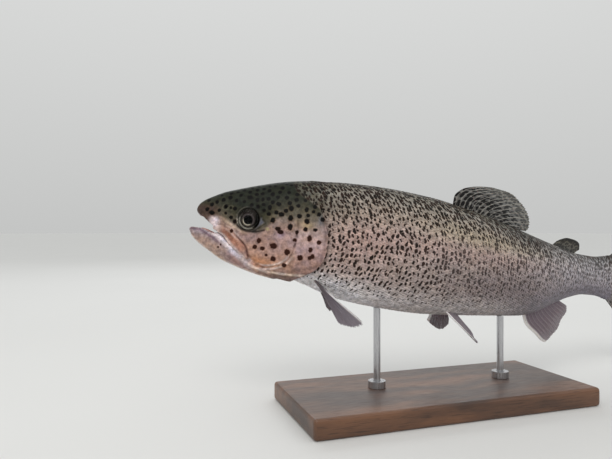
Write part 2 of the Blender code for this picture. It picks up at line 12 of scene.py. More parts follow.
import bmesh
import bpy
import numpy as np
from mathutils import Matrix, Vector


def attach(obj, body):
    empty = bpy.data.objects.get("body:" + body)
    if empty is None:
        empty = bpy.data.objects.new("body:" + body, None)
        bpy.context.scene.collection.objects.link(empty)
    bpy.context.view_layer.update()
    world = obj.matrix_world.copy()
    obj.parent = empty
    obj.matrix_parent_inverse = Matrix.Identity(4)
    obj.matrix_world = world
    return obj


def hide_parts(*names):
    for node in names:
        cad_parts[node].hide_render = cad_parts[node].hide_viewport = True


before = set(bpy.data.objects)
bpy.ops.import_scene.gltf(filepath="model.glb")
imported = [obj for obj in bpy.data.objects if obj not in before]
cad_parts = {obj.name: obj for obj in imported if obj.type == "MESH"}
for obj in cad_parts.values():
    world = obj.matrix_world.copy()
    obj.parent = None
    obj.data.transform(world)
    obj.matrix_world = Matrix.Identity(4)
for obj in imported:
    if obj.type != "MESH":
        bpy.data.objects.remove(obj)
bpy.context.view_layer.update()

# The frame of the fish, as in the model's source. Sizes in metres and angles in radians.
STANDARD_LENGTH = 0.455
AXIS_HEIGHT = 0.130
HEAD_HEADING = math.radians(-15.8)
BODY_TURN = math.radians(36.0)
TAIL_TURN_BACK = math.radians(21.6)
BODY_TURN_SPAN = (0.15, 0.95)
TAIL_TURN_SPAN = (0.86, 1.16)
NOSE_UP = math.radians(7.2)
MIDDLE_OF_FISH = 0.45
MILLIMETRE = 0.001 / STANDARD_LENGTH  # in standard lengths

# Outlines of the flesh: pairs of place along the body and height, or half width, in standard lengths. They
# are the source's, apart from the front of the maxilla, which is a little fuller here.
BACK_LINE = (
    (-0.0065, 0.027), (-0.003, 0.037), (0.006, 0.0458), (0.023, 0.056), (0.04, 0.0648), (0.067, 0.0745),
    (0.103, 0.086), (0.139, 0.096), (0.176, 0.1033), (0.213, 0.108), (0.269, 0.112), (0.32, 0.113),
    (0.42, 0.108), (0.53, 0.092), (0.62, 0.076), (0.745, 0.056), (0.86, 0.045), (0.93, 0.0458),
    (1.02, 0.058),
)
HEAD_UNDERSIDE = (
    (-0.0065, 0.027), (-0.003, 0.02), (0.004, 0.0138), (0.016, 0.0052), (0.028, -0.004), (0.04, -0.009),
    (0.052, -0.017), (0.066, -0.03), (0.082, -0.043), (0.105, -0.0595), (0.143, -0.0795), (0.175, -0.084),
    (0.26, -0.1),
)
BELLY_LINE = (
    (0.14, -0.076), (0.2, -0.086), (0.24, -0.0985), (0.28, -0.108), (0.34, -0.114), (0.42, -0.1175),
    (0.5, -0.114), (0.6, -0.108), (0.66, -0.1045), (0.7, -0.0975), (0.76, -0.077), (0.83, -0.057),
    (0.9, -0.0465), (0.95, -0.0458), (1.02, -0.057),
)
HEAD_HALF_WIDTH = (
    (-0.0065, 0.0), (0.002, 0.0125), (0.02, 0.021), (0.05, 0.0295), (0.09, 0.0385), (0.14, 0.048),
    (0.19, 0.056), (0.225, 0.059), (0.26, 0.0595),
)
TRUNK_HALF_WIDTH = (
    (0.14, 0.044), (0.22, 0.0555), (0.3, 0.06), (0.4, 0.062), (0.5, 0.0585), (0.6, 0.0495), (0.7, 0.0385),
    (0.8, 0.0275), (0.9, 0.019), (0.97, 0.0125), (1.02, 0.006),
)
WIDEST_HEIGHT = (
    (-0.0065, 0.027), (0.04, 0.012), (0.09, -0.005), (0.15, -0.013), (0.22, -0.009), (0.35, -0.002),
    (0.6, -0.008), (0.8, -0.002), (1.02, 0.0),
)
UPPER_SQUARENESS = ((-0.0065, 2.0), (0.1, 2.3), (0.2, 2.2), (0.3, 2.0), (1.02, 2.0))
LOWER_SQUARENESS = ((-0.0065, 2.0), (0.03, 3.0), (0.1, 3.2), (0.15, 2.4), (0.22, 2.1), (1.02, 2.0))
JAW_UPPER_LINE = (
    (-0.0185, -0.01), (-0.0165, -0.0072), (-0.0106, -0.0046), (0.005, -0.0041), (0.0147, -0.0062),
    (0.0245, -0.009), (0.0344, -0.0128), (0.0445, -0.0188), (0.065, -0.0345), (0.085, -0.048),
    (0.11, -0.0646), (0.15, -0.081),
)
JAW_LOWER_LINE = (
    (-0.0185, -0.01), (-0.0162, -0.015), (-0.0096, -0.023), (-0.0013, -0.0303), (0.0068, -0.0358),
    (0.0168, -0.042), (0.0266, -0.047), (0.0369, -0.0532), (0.0468, -0.0585), (0.07, -0.0665),
    (0.11, -0.0768), (0.15, -0.0828),
)
JAW_HALF_WIDTH = (
    (-0.0185, 0.0), (-0.008, 0.01), (0.01, 0.017), (0.033, 0.023), (0.07, 0.0305), (0.11, 0.0378),
    (0.15, 0.04),
)
JAW_UPPER_SQUARENESS, JAW_LOWER_SQUARENESS = 3.5, 2.0
GILL_EDGE = (
    (-0.13, 0.165), (-0.085, 0.18), (-0.068, 0.203), (-0.057, 0.2185), (-0.043, 0.229), (-0.02, 0.2353),
    (0.001, 0.2349), (0.025, 0.2285), (0.049, 0.2188), (0.064, 0.2103), (0.09, 0.197), (0.13, 0.185),
)
# The maxilla's rows are place, height and half width. The gill edge's pairs are height and place.
MAXILLA_LINE = (
    (0.029, -0.0002, 0.0058), (0.0405, -0.0034, 0.007), (0.0545, -0.0086, 0.0087), (0.067, -0.0192, 0.0098),
    (0.079, -0.0295, 0.0103), (0.0905, -0.04, 0.0085), (0.0975, -0.048, 0.0045),
)
EYE_CENTRE = (0.0921, 0.0205)
EYE_RADIUS = 0.02
EYE_HALF_DEPTH = 0.0095
EYE_SUNK = 0.005
EYE_TURN = math.radians(12.0)
EYE_PUPIL = 0.4  # its radius, in eye radii
EYE_DROOP = 0.1  # how far below the eye's middle the pupil sits, in eye radii
TONGUE_CENTRE = (0.036, 0.0, -0.019)
TONGUE_RADII = (0.034, 0.0085, 0.0055)
TONGUE_TILT = math.radians(24.0)

# The fins: root lines, edges and curved leading edges, as points in the straight fish.
DORSAL_ROOT = ((0.478, 0.0, 0.094), (0.55, 0.0, 0.082), (0.618, 0.0, 0.07))
DORSAL_LEAD = ((0.48, 0.0, 0.1165), (0.4895, 0.0, 0.128), (0.5036, 0.0, 0.1362), (0.5358, 0.0, 0.1437))
DORSAL_EDGE = (
    (0.5728, 0.001, 0.1474), (0.6077, 0.002, 0.1447), (0.6399, 0.003, 0.1363), (0.6658, 0.004, 0.1214),
    (0.681, 0.005, 0.1005), (0.6852, 0.005, 0.082), (0.678, 0.004, 0.0735), (0.656, 0.002, 0.0735),
)
ADIPOSE_ROOT = ((0.756, 0.0, 0.05), (0.8, 0.0, 0.042), (0.84, 0.0, 0.038))
ADIPOSE_EDGE = (
    (0.775, 0.0, 0.0625), (0.792, 0.0, 0.069), (0.819, 0.0, 0.0748), (0.85, 0.0, 0.0738),
    (0.8715, 0.0, 0.065), (0.8715, 0.0, 0.056), (0.856, 0.0, 0.05),
)
ANAL_ROOT = ((0.676, 0.0, -0.093), (0.73, 0.0, -0.078), (0.786, 0.0, -0.06))
ANAL_LEAD = ((0.69, 0.0, -0.119), (0.7239, 0.001, -0.1389), (0.75, 0.003, -0.153))
ANAL_EDGE = (
    (0.765, 0.004, -0.156), (0.79, 0.004, -0.144), (0.818, 0.003, -0.112), (0.836, 0.002, -0.086),
    (0.832, 0.0, -0.074),
)
CAUDAL_ROOT = (
    (1.004, 0.0, 0.054), (1.016, 0.0, 0.027), (1.02, 0.0, 0.0), (1.016, 0.0, -0.027), (1.004, 0.0, -0.053),
)
CAUDAL_EDGE = (
    (1.035, 0.0, 0.076), (1.11, -0.004, 0.112), (1.172, -0.01, 0.119), (1.166, -0.01, 0.08),
    (1.142, -0.007, 0.035), (1.134, -0.006, 0.0), (1.142, -0.007, -0.035), (1.166, -0.01, -0.08),
    (1.172, -0.01, -0.118), (1.11, -0.004, -0.11), (1.035, 0.0, -0.075),
)
PECTORAL_ROOT = ((0.213, 0.025, -0.0665), (0.224, 0.0225, -0.0735), (0.236, 0.018, -0.08))
PECTORAL_EDGE = (
    (0.296, 0.119, -0.125), (0.3, 0.116, -0.133), (0.2867, 0.1, -0.1416), (0.2745, 0.085, -0.1422),
    (0.2655, 0.07, -0.1345), (0.261, 0.058, -0.1255),
)
PELVIC_ROOT = ((0.472, 0.019, -0.102), (0.484, 0.016, -0.1025), (0.498, 0.011, -0.103))
PELVIC_EDGE_LEFT = (
    (0.5186, 0.056, -0.1495), (0.527, 0.055, -0.156), (0.535, 0.043, -0.156), (0.5363, 0.031, -0.148),
    (0.531, 0.023, -0.137),
)
PELVIC_EDGE_RIGHT = (
    (0.47, 0.037, -0.131), (0.4921, 0.048, -0.1431), (0.515, 0.057, -0.1495), (0.5236, 0.054, -0.148),
    (0.5222, 0.038, -0.1374), (0.514, 0.024, -0.125),
)
SIDES = {"left": -1, "right": 1}

# How the skin is made. Lengths in standard lengths unless a name says otherwise.
COAT_DEPTH = 0.75 * MILLIMETRE
SHOULDER_RECESS = 0.6 * MILLIMETRE
HEAD_VOXEL_METRES = 0.0007
HEAD_END = 0.225  # a first guess of where its rim lies, which then follows the gill covers
HEAD_ZONE_END = 0.275
JAW_END = 0.178
MOUTH_END = 0.088
SKIN_END = 1.0185
NAPE_HEIGHTS = (0.052, 0.066)  # from the flank up to the nape, where the scales begin small
STROKE_SLANT = 5.0  # per metre: the strokes lean back above the lateral line and forward below it
STROKE_LOOSENESS = 0.65

# The scales. Their widths and lengths are in the spaces between the roots of a row, and between rows.
LATERAL_LINE = 0.97  # how far down the way from the back to the flank
SCALES_START, SCALES_END = 0.172, 1.012
SCALE_SPACE_METRES = 0.00225
SCALE_HALF_WIDTH = 0.66
SCALE_PITCH = 1.26  # from row to row, in the spaces of a row
SCALE_LENGTH = 2.0
SCALE_RISE_METRES = 0.00036
SCALE_DOME_METRES = 0.0001
SCALE_LIP_METRES = 0.0003
SCALE_SUNK_METRES = 0.00008
SCALE_ROWS = ((0.0, 0.55), (0.42, 1.0), (0.8, 0.9), (0.95, 0.55))  # place along the scale, half width
SCALE_TIP = 1.01
STEP_AHEAD, STEP_ROUND_METRES = 0.004, 0.0008  # over which a scale's directions are taken
BAKE_START, BAKE_LENGTH, BAKE_GIRTH_METRES = -0.05, 1.25, 0.3  # the sheet that the scales are baked on
BAKE_SCALE = (0.003, 0.0015)  # a scale's length and half its width, as shares of that sheet

# The fins' rays and the web between them. Widths are in the spaces between rays.
FIN_COLUMNS_PER_RAY, FIN_ROWS = 9, 46
FIN_BRANCHING = 0.2  # how far the branches of a ray part
FIN_RAY_WIDTH = 0.11
FIN_NOTCH = 0.03  # how deep the edge dips between rays, as a share of them
FIN_WEB_SHARE, FIN_WEB_LEAST = 0.34, 0.26  # of the fin's thickness, and in millimetres

# Lines in the skin of the head, as pairs of place and height.
GILL_EDGE_LINE = tuple((place, height) for height, place in GILL_EDGE[1:10])
UPPER_LIP = (
    (-0.0052, 0.0249), (0.001, 0.0173), (0.0081, 0.0107), (0.0189, 0.0037), (0.0259, -0.0045),
    (0.0316, -0.006),
)
MAXILLA_GROOVE = (
    (0.0454, 0.0042), (0.0591, -0.0013), (0.0733, -0.0121), (0.0835, -0.0198), (0.093, -0.0293),
    (0.0986, -0.0447),
)
CHEEK_FOLD = (
    (0.072, 0.004), (0.08, -0.006), (0.094, -0.01), (0.112, -0.005), (0.126, 0.006), (0.133, 0.02),
)
PREOPERCLE = (
    (0.179, 0.029), (0.1805, 0.018), (0.1805, 0.0), (0.1765, -0.027), (0.169, -0.044), (0.152, -0.056),
    (0.128, -0.0615), (0.108, -0.0575),
)
PREOPERCLE_BY_HEIGHT = (
    (-0.062, 0.105), (-0.0575, 0.15), (-0.044, 0.168), (-0.027, 0.1765), (0.0, 0.1805), (0.021, 0.1806),
    (0.029, 0.179),
)
SUBOPERCLE = ((0.178, -0.03), (0.196, -0.041), (0.216, -0.047))
COVER_LOWER_EDGE = ((0.1, -0.06), (0.13, -0.068), (0.165, -0.07), (0.203, -0.068))
CROWN_EDGE = (
    (-0.0065, 0.02), (0.004, 0.016), (0.014, 0.017), (0.024, 0.0205), (0.034, 0.0205), (0.043, 0.018),
    (0.052, 0.0135), (0.062, 0.0095), (0.077, 0.003), (0.087, -0.001), (0.11, 0.0005), (0.122, 0.006),
    (0.132, 0.019), (0.148, 0.031), (0.165, 0.0325), (0.18, 0.0325), (0.2, 0.032), (0.22, 0.031),
    (0.24, 0.031),
)
SKIN_FOLDS = (  # a line, how far the skin rises in millimetres, how far beside the line, and how wide
    (MAXILLA_GROOVE, -0.7, 0, 0.0016), (CHEEK_FOLD, -0.28, 0, 0.002), (PREOPERCLE, -0.75, 0, 0.0017),
    (GILL_EDGE_LINE, 0.3, 0, 0.002), (GILL_EDGE_LINE, -0.25, 0.0045, 0.0025),
    (SUBOPERCLE, -0.22, 0, 0.0014), (COVER_LOWER_EDGE, 0.3, 0, 0.0018), (UPPER_LIP, 0.35, 0.002, 0.0018),
)
# the line under the eye along which shade is painted
UNDER_EYE_SHADE_LINE = ((0.073, 0.008), (0.08, 0.0022), (0.092, -0.0009), (0.108, 0.0001), (0.122, 0.0045))
PALE_CORNER = (0.1145, 0.018)
CORNER_STREAK = ((0.1095, 0.0125), (0.113, 0.019), (0.1145, 0.025))
PALE_STRIPE = ((0.04, 0.018), (0.052, 0.0115), (0.062, 0.007), (0.077, -0.0002), (0.09, -0.005))
# The nostrils and the bold round spots of the head: place, height and radius.
NOSTRILS = ((0.047, 0.0365, 0.0031), (0.0572, 0.0368, 0.0027))
HEAD_SPOTS = (
    (0.064, -0.004, 0.003), (0.115, -0.015, 0.0038), (0.109, -0.027, 0.0035), (0.123, -0.028, 0.0035),
    (0.142, -0.021, 0.0052), (0.144, -0.044, 0.0042), (0.131, -0.039, 0.0023), (0.146, 0.01, 0.004),
    (0.151, 0.005, 0.0042), (0.167, 0.016, 0.0045), (0.167, -0.029, 0.0047), (0.165, -0.053, 0.0036),
    (0.191, -0.036, 0.0043), (0.203, 0.0, 0.0042), (0.207, -0.02, 0.0036), (0.212, -0.031, 0.0036),
    (0.208, -0.034, 0.0034), (0.22, -0.005, 0.0036), (0.194, 0.015, 0.0035), (0.211, 0.016, 0.0031),
    (0.195, 0.029, 0.0042), (0.181, 0.037, 0.0038), (0.166, 0.032, 0.0043), (0.149, 0.036, 0.0042),
    (0.135, 0.024, 0.004), (0.165, 0.049, 0.0043), (0.142, 0.054, 0.0038), (0.127, 0.046, 0.0038),
    (0.113, 0.059, 0.0029), (0.115, 0.05, 0.0026), (0.103, 0.057, 0.0031), (0.089, 0.06, 0.0038),
    (0.08, 0.051, 0.0026), (0.022, 0.039, 0.0032), (0.024, 0.024, 0.0042), (0.06, 0.02, 0.003),
    (0.192, 0.05, 0.0035), (0.177, 0.055, 0.0031), (0.127, 0.034, 0.0033), (0.206, 0.057, 0.0035),
    (0.222, 0.036, 0.0038), (0.18, 0.008, 0.003), (0.178, -0.006, 0.003), (0.043, -0.036, 0.0016),
    (0.047, -0.031, 0.0014),
)
BOLD_SPOT_SCALE = 1.08
SPOTS_END = 0.26
NAPE_ADVANCE = 0.03  # how far the body's strokes reach forwards over the nape
CROWN_SPOT_TRIES = 1500
CROWN_SPOT_SPACING = 0.0098

# The floor, the room and the photo's camera.
FLOOR_RADIUS = 25.0
HORIZON_LIGHT = 0.56
ZENITH_LIGHT = 1.643 * HORIZON_LIGHT  # so that the far floor looks as bright as the horizon
CAMERA_PLACE = (-0.2614, -0.429, 0.1513)
CAMERA_AZIMUTH = math.radians(-18.5)
CAMERA_LENS = 32.94


# ---------------------------------------------------------------- smooth functions


def ramp(value, start, end):
    """0 before start, 1 after end, and a smooth rise between them. End may be the smaller."""
    share = np.clip((np.asarray(value, float) - start) / (end - start), 0, 1)
    return share * share * (3 - 2 * share)


def bell(value, centre, width):
    """1 at the centre, and less and less on both sides of it."""
    return np.exp(-(((np.asarray(value, float) - centre) / width) ** 2))


class Line:
    """A smooth function through points that never overshoots them. A blunt one starts at a right angle."""

    def __init__(self, points, blunt=False):
        self.x, self.y = np.array(points, float).T
        self.tip = self.x[0] if blunt else None
        if blunt:
            self.x = np.sqrt(self.x - self.x[0])
        slope = np.diff(self.y) / np.diff(self.x)
        inner = np.zeros(len(self.x) - 2)
        same_way = slope[:-1] * slope[1:] > 0
        inner[same_way] = 2 / (1 / slope[:-1][same_way] + 1 / slope[1:][same_way])
        self.rate = np.concatenate([[slope[0]], inner, [slope[-1]]])

    def __call__(self, place):
        at = np.asarray(place, float)
        if self.tip is not None:
            at = np.sqrt(np.maximum(at - self.tip, 0.0))
        i = np.clip(np.searchsorted(self.x, at) - 1, 0, len(self.x) - 2)
        width = self.x[i + 1] - self.x[i]
        s = np.clip((at - self.x[i]) / width, 0, 1)
        start = (1 + 2 * s) * (1 - s) ** 2 * self.y[i] + s * (1 - s) ** 2 * width * self.rate[i]
        end = s * s * (3 - 2 * s) * self.y[i + 1] - s * s * (1 - s) * width * self.rate[i + 1]
        return start + end


class Curve:
    """A smooth curve through points in space, for shares from 0 to 1 of its length."""

    def __init__(self, points):
        points = np.array(points, float)
        share = np.concatenate([[0], np.cumsum(np.linalg.norm(np.diff(points, axis=0), axis=1))])
        share /= share[-1]
        self.lines = [Line(np.stack([share, axis], axis=1)) for axis in points.T]

    def __call__(self, share):
        return np.stack([line(share) for line in self.lines], axis=-1)


def offset_from(points, line):
    """How far points in a plane lie from a line there, negative on its right, and the share along it."""
    fine = Curve(line)(np.linspace(0, 1, 60))
    best, along, side = np.full(len(points), 1e9), np.zeros(len(points)), np.ones(len(points))
    for i, (start, end) in enumerate(zip(fine, fine[1:])):
        run = end - start
        away = points - start
        share = np.clip((away @ run) / (run @ run), 0, 1)
        distance = np.linalg.norm(away - share[:, None] * run, axis=1)
        closer = distance < best
        best[closer] = distance[closer]
        along[closer] = (i + share[closer]) / (len(fine) - 1)
        side[closer] = np.where(run[0] * away[closer, 1] - run[1] * away[closer, 0] < 0, -1, 1)
    return side * best, along


def distance_to(points, line):
    """How far points in a plane lie from a line there, and the share along it."""
    offset, along = offset_from(points, line)
    return np.abs(offset), along


def power(value, exponent):
    """A power that keeps the sign."""
    return np.sign(value) * np.abs(value) ** exponent


def unit(vectors):
    return vectors / np.linalg.norm(vectors, axis=-1, keepdims=True)


def turn_steps(count):
    """Angles once round a ring."""
    return np.linspace(0, 2 * math.pi, count, endpoint=False)


# ---------------------------------------------------------------- the shape of the fish


class Flesh:
    """The section of a length of flesh at each place along the body."""

    def __init__(self, top, bottom, half_width, widest, upper, lower):
        self.top, self.bottom, self.half_width = top, bottom, half_width
        self.widest, self.upper, self.lower = widest, upper, lower

    def frame(self, place, grow=0.0):
        top, bottom = self.top(place) + grow, self.bottom(place) - grow
        middle = np.clip(self.widest(place), bottom + 0.2 * (top - bottom), top - 0.2 * (top - bottom))
        return top, bottom, middle, np.maximum(self.half_width(place) + grow, 0.0005)

    def section(self, place, angle, grow=0.0):
        """Side and height of the points at an angle round the body, where 0 is the back."""
        top, bottom, middle, half_width = self.frame(place, grow)
        upper_half = np.cos(angle) >= 0
        exponent = 2 / np.where(upper_half, self.upper(place), self.lower(place))
        reach = np.where(upper_half, top - middle, middle - bottom)
        side = half_width * power(np.sin(angle), exponent)
        return side, middle + reach * power(np.cos(angle), exponent)

    def angle_of(self, place, side, up):
        """The angle round the body of points near its surface, from 0 at the back to pi at the belly."""
        top, bottom, middle, half_width = self.frame(place)
        upper_half = up >= middle
        exponent = np.where(upper_half, self.upper(place), self.lower(place)) / 2
        reach = np.where(upper_half, top - middle, middle - bottom)
        across = (np.abs(side) / half_width) ** exponent
        return np.arctan2(across, power((up - middle) / reach, exponent))


SHARED_LINES = Line(WIDEST_HEIGHT), Line(UPPER_SQUARENESS), Line(LOWER_SQUARENESS)
BACK = Line(BACK_LINE, blunt=True)
HEAD = Flesh(BACK, Line(HEAD_UNDERSIDE, blunt=True), Line(HEAD_HALF_WIDTH, blunt=True), *SHARED_LINES)
TRUNK = Flesh(BACK, Line(BELLY_LINE), Line(TRUNK_HALF_WIDTH), *SHARED_LINES)
JAW_TOP, JAW_BOTTOM = Line(JAW_UPPER_LINE, blunt=True), Line(JAW_LOWER_LINE, blunt=True)
HALF_JAW = Line(JAW_HALF_WIDTH, blunt=True)
GILL = Line(GILL_EDGE)


def whole(head, trunk):
    """A line that follows the head's and goes over to the trunk's behind the gills."""
    return lambda place: head(place) + (trunk(place) - head(place)) * ramp(place, 0.18, 0.26)


WHOLE = Flesh(
    BACK, whole(HEAD.bottom, TRUNK.bottom), whole(HEAD.half_width, TRUNK.half_width), *SHARED_LINES
)


def maxilla_half_width(share):
    """At a share of the way along the maxilla from its front."""
    return np.interp(share, np.linspace(0, 1, len(MAXILLA_LINE)), [row[2] for row in MAXILLA_LINE])


class Unwrap:
    """Carries between the skin and a flat sheet: metres along the body, and round it from the back."""

    def __init__(self, flesh, start, end):
        self.flesh = flesh
        self.places = np.linspace(start, end, 400)
        self.angles = np.linspace(0, math.pi, 181)
        side, up = flesh.section(self.places[:, None], self.angles[None, :])
        step = np.hypot(np.diff(side, axis=1), np.diff(up, axis=1)) * STANDARD_LENGTH
        self.arc = np.concatenate([np.zeros((len(step), 1)), np.cumsum(step, axis=1)], axis=1)
        self.whole_arc = self.arc[:, -1]
        self.flank_arc = self.arc[:, len(self.angles) // 2]
        shares = np.linspace(0, 1, 241)
        self.angle_table = np.array([np.interp(shares, row / row[-1], self.angles) for row in self.arc])

    def look_up(self, table, place, share):
        """Reads a table whose rows are places and whose columns are shares of a whole."""
        step = self.places[1] - self.places[0]
        row = np.clip((place - self.places[0]) / step, 0, len(self.places) - 1.001)
        column = np.clip(share * (table.shape[1] - 1), 0, table.shape[1] - 1.001)
        i, j = row.astype(int), column.astype(int)
        a, b = row - i, column - j
        near = table[i, j] * (1 - b) + table[i, j + 1] * b
        far = table[i + 1, j] * (1 - b) + table[i + 1, j + 1] * b
        return near * (1 - a) + far * a

    def arc_at(self, points):
        """Metres round the body from the back, negative on the left."""
        place, side, up = points.T
        angle = self.flesh.angle_of(place, side, up)
        return np.where(side < 0, -1, 1) * self.look_up(self.arc, place, angle / math.pi)

    def half_girth(self, place):
        """Metres from the back to the belly."""
        return np.interp(place, self.places, self.whole_arc)

    def flank(self, place):
        """Metres from the back to the widest height."""
        return np.interp(place, self.places, self.flank_arc)

    def point_at(self, place, arc, sign, grow):
        """The point of the skin at a distance round the body from the back."""
        angle = self.look_up(self.angle_table, place, arc / self.half_girth(place))
        side, up = self.flesh.section(place, angle, grow)
        return np.stack([place, sign * side, up], axis=-1)


SHEET = Unwrap(WHOLE, -0.006, 1.019)
TRUNK_SHEET = Unwrap(TRUNK, 0.15, 1.019)


class SwimmingCurve:
    """Carries points from the straight fish to the bent one in the world, in metres."""

    def __init__(self):
        self.place = np.linspace(-0.1, 1.3, 701)
        self.heading = (
            HEAD_HEADING
            + BODY_TURN * ramp(self.place, *BODY_TURN_SPAN)
            - TAIL_TURN_BACK * ramp(self.place, *TAIL_TURN_SPAN)
        )
        step = np.diff(self.place, prepend=self.place[0])
        self.x = np.cumsum(np.cos(self.heading) * math.cos(NOSE_UP) * step)
        self.y = np.cumsum(np.sin(self.heading) * math.cos(NOSE_UP) * step)
        self.x -= np.interp(MIDDLE_OF_FISH, self.place, self.x)
        self.y -= np.interp(MIDDLE_OF_FISH, self.place, self.y)

    def __call__(self, points):
        place, side, up = np.asarray(points, float).T
        heading = np.interp(place, self.place, self.heading)
        cos, sin = np.cos(heading), np.sin(heading)
        x = np.interp(place, self.place, self.x) - side * sin + up * math.sin(NOSE_UP) * cos
        y = np.interp(place, self.place, self.y) + side * cos + up * math.sin(NOSE_UP) * sin
        z = -math.sin(NOSE_UP) * (place - MIDDLE_OF_FISH) + up * math.cos(NOSE_UP)
        return np.stack([x, y, z + AXIS_HEIGHT / STANDARD_LENGTH], axis=1) * STANDARD_LENGTH


TO_WORLD = SwimmingCurve()


# ---------------------------------------------------------------- meshes


def grid_faces(rows, columns, closed):
    """Quads over a grid of points stored row by row; closed rows join their last point to the first."""
    r = np.arange(rows - 1)[:, None]
    c = np.arange(columns if closed else columns - 1)[None, :]
    n = (c + 1) % columns
    corners = [r * columns + c, r * columns + n, (r + 1) * columns + n, (r + 1) * columns + c]
    return np.stack(corners, axis=-1).reshape(-1, 4).tolist()


def ring_mesh(rings, first=None):
    """Points and faces of a closed skin through rings; it starts at a point if there is one."""
    rows, columns = len(rings), len(rings[0])
    points = [tuple(p) for ring in rings for p in ring]
    faces = grid_faces(rows, columns, closed=True)
    faces.append([(rows - 1) * columns + k for k in range(columns)])
    if first is None:
        faces.append(list(reversed(range(columns))))
    else:
        points.append(tuple(first))
        faces += [[len(points) - 1, (k + 1) % columns, k] for k in range(columns)]
    return points, faces


def join(shapes):
    points, faces = [], []
    for more_points, more_faces in shapes:
        start = len(points)
        points += more_points
        faces += [[start + k for k in face] for face in more_faces]
    return points, faces


@contextmanager
def editing(mesh):
    """Opens a mesh for editing and puts it back afterwards."""
    edit = bmesh.new()
    edit.from_mesh(mesh)
    yield edit
    edit.to_mesh(mesh)
    edit.free()


def mesh_of(name, points, faces):
    """A mesh whose faces look outwards."""
    mesh = bpy.data.meshes.new(name)
    mesh.from_pydata([tuple(p) for p in points], [], faces)
    with editing(mesh) as edit:
        bmesh.ops.recalc_face_normals(edit, faces=edit.faces)
    return mesh


def vectors_of(mesh, name):
    """The places or the normals of a mesh's points."""
    vectors = np.empty(len(mesh.vertices) * 3, np.float32)
    mesh.vertices.foreach_get(name, vectors)
    return vectors.reshape(-1, 3).astype(float)


def points_of(mesh):
    return vectors_of(mesh, "co")


def move_points(mesh, points):
    mesh.vertices.foreach_set("co", np.asarray(points, np.float32).ravel())
    mesh.update()


def bend(mesh):
    """Carries a mesh from the straight fish to its place in the world."""
    move_points(mesh, TO_WORLD(points_of(mesh)))


def add(name, data):
    """A new object in the scene."""
    obj = bpy.data.objects.new(name, data)
    bpy.context.scene.collection.objects.link(obj)
    return obj


def evaluated(mesh, *modifiers):
    """The mesh after modifiers, each a type and its settings."""
    obj = add("work", mesh)
    for kind, settings in modifiers:
        modifier = obj.modifiers.new(kind, kind)
        for name, value in settings.items():
            setattr(modifier, name, value)
    bpy.context.view_layer.update()
    result = bpy.data.meshes.new_from_object(obj.evaluated_get(bpy.context.evaluated_depsgraph_get()))
    bpy.data.objects.remove(obj)
    return result


def store(mesh, name, values):
    """A value for each point of a mesh: three numbers for a vector, four for a colour."""
    kind, field = ("FLOAT_COLOR", "color") if values.shape[1] == 4 else ("FLOAT_VECTOR", "vector")
    mesh.attributes.new(name, kind, "POINT").data.foreach_set(field, np.asarray(values, np.float32).ravel())


def piece(name, mesh, material, replaced=()):
    """A finished piece of the model: on its body, with its finish and the nodes that it stands for."""
    mesh.shade_smooth()
    mesh.materials.clear()
    mesh.materials.append(material)
    obj = add(name, mesh)
    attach(obj, "root")
    if replaced:
        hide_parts(*replaced)


# ---------------------------------------------------------------- colours


def colour(red, green, blue):
    """A colour given as on a screen, from 0 to 255, as the light that it reflects."""
    value = np.array([red, green, blue]) / 255
    return np.where(value <= 0.04045, value / 12.92, ((value + 0.055) / 1.055) ** 2.4)


def layered(ground, *layers):
    """Colours laid over a ground, each with its share. A colour is three screen values, or one per point."""
    for top, share in layers:
        top = colour(*top) if isinstance(top, tuple) else top
        ground = ground + (top - ground) * np.clip(share, 0, 1)[:, None]
    return ground


def shades(value, *steps):
    """A colour for each value, from rows of a value and its colour, in rising order."""
    at = [step[0] for step in steps]
    tints = np.array([colour(*step[1:]) for step in steps])
    return np.stack([np.interp(value, at, channel) for channel in tints.T], axis=1)


def oval(place, up, centre, spread):
    """1 in the middle of an oval patch, and less and less round it."""
    return np.exp(-(((place - centre[0]) / spread[0]) ** 2 + ((up - centre[1]) / spread[1]) ** 2))


def from_eye(place, up):
    """How far from the eye's middle, in its radii."""
    return np.hypot(place - EYE_CENTRE[0], up - EYE_CENTRE[1]) / EYE_RADIUS


def from_nostrils(place, up):
    """How far from the middle of each nostril, in its radii."""
    return [np.hypot(place - at, up - height) / radius for at, height, radius in NOSTRILS]


def height_share(points):
    """How high on the body: 1 on the back, 0 at the widest height and -1 on the belly."""
    top, bottom, middle, _ = WHOLE.frame(points[:, 0])
    up = points[:, 2] - middle
    return np.clip(np.where(up > 0, up / (top - middle), up / (middle - bottom)), -1, 1)


def behind_head(points):
    """How far behind the head's plain skin, where the body's strokes reach forwards over the nape."""
    return points[:, 0] - GILL(points[:, 2]) + NAPE_ADVANCE * ramp(points[:, 2], 0.050, 0.085)


def nape(points):
    """How much of the head's dark crown runs on over the first scales."""
    return ramp(behind_head(points), 0.120, -0.006) * ramp(points[:, 2], 0.022, 0.076)


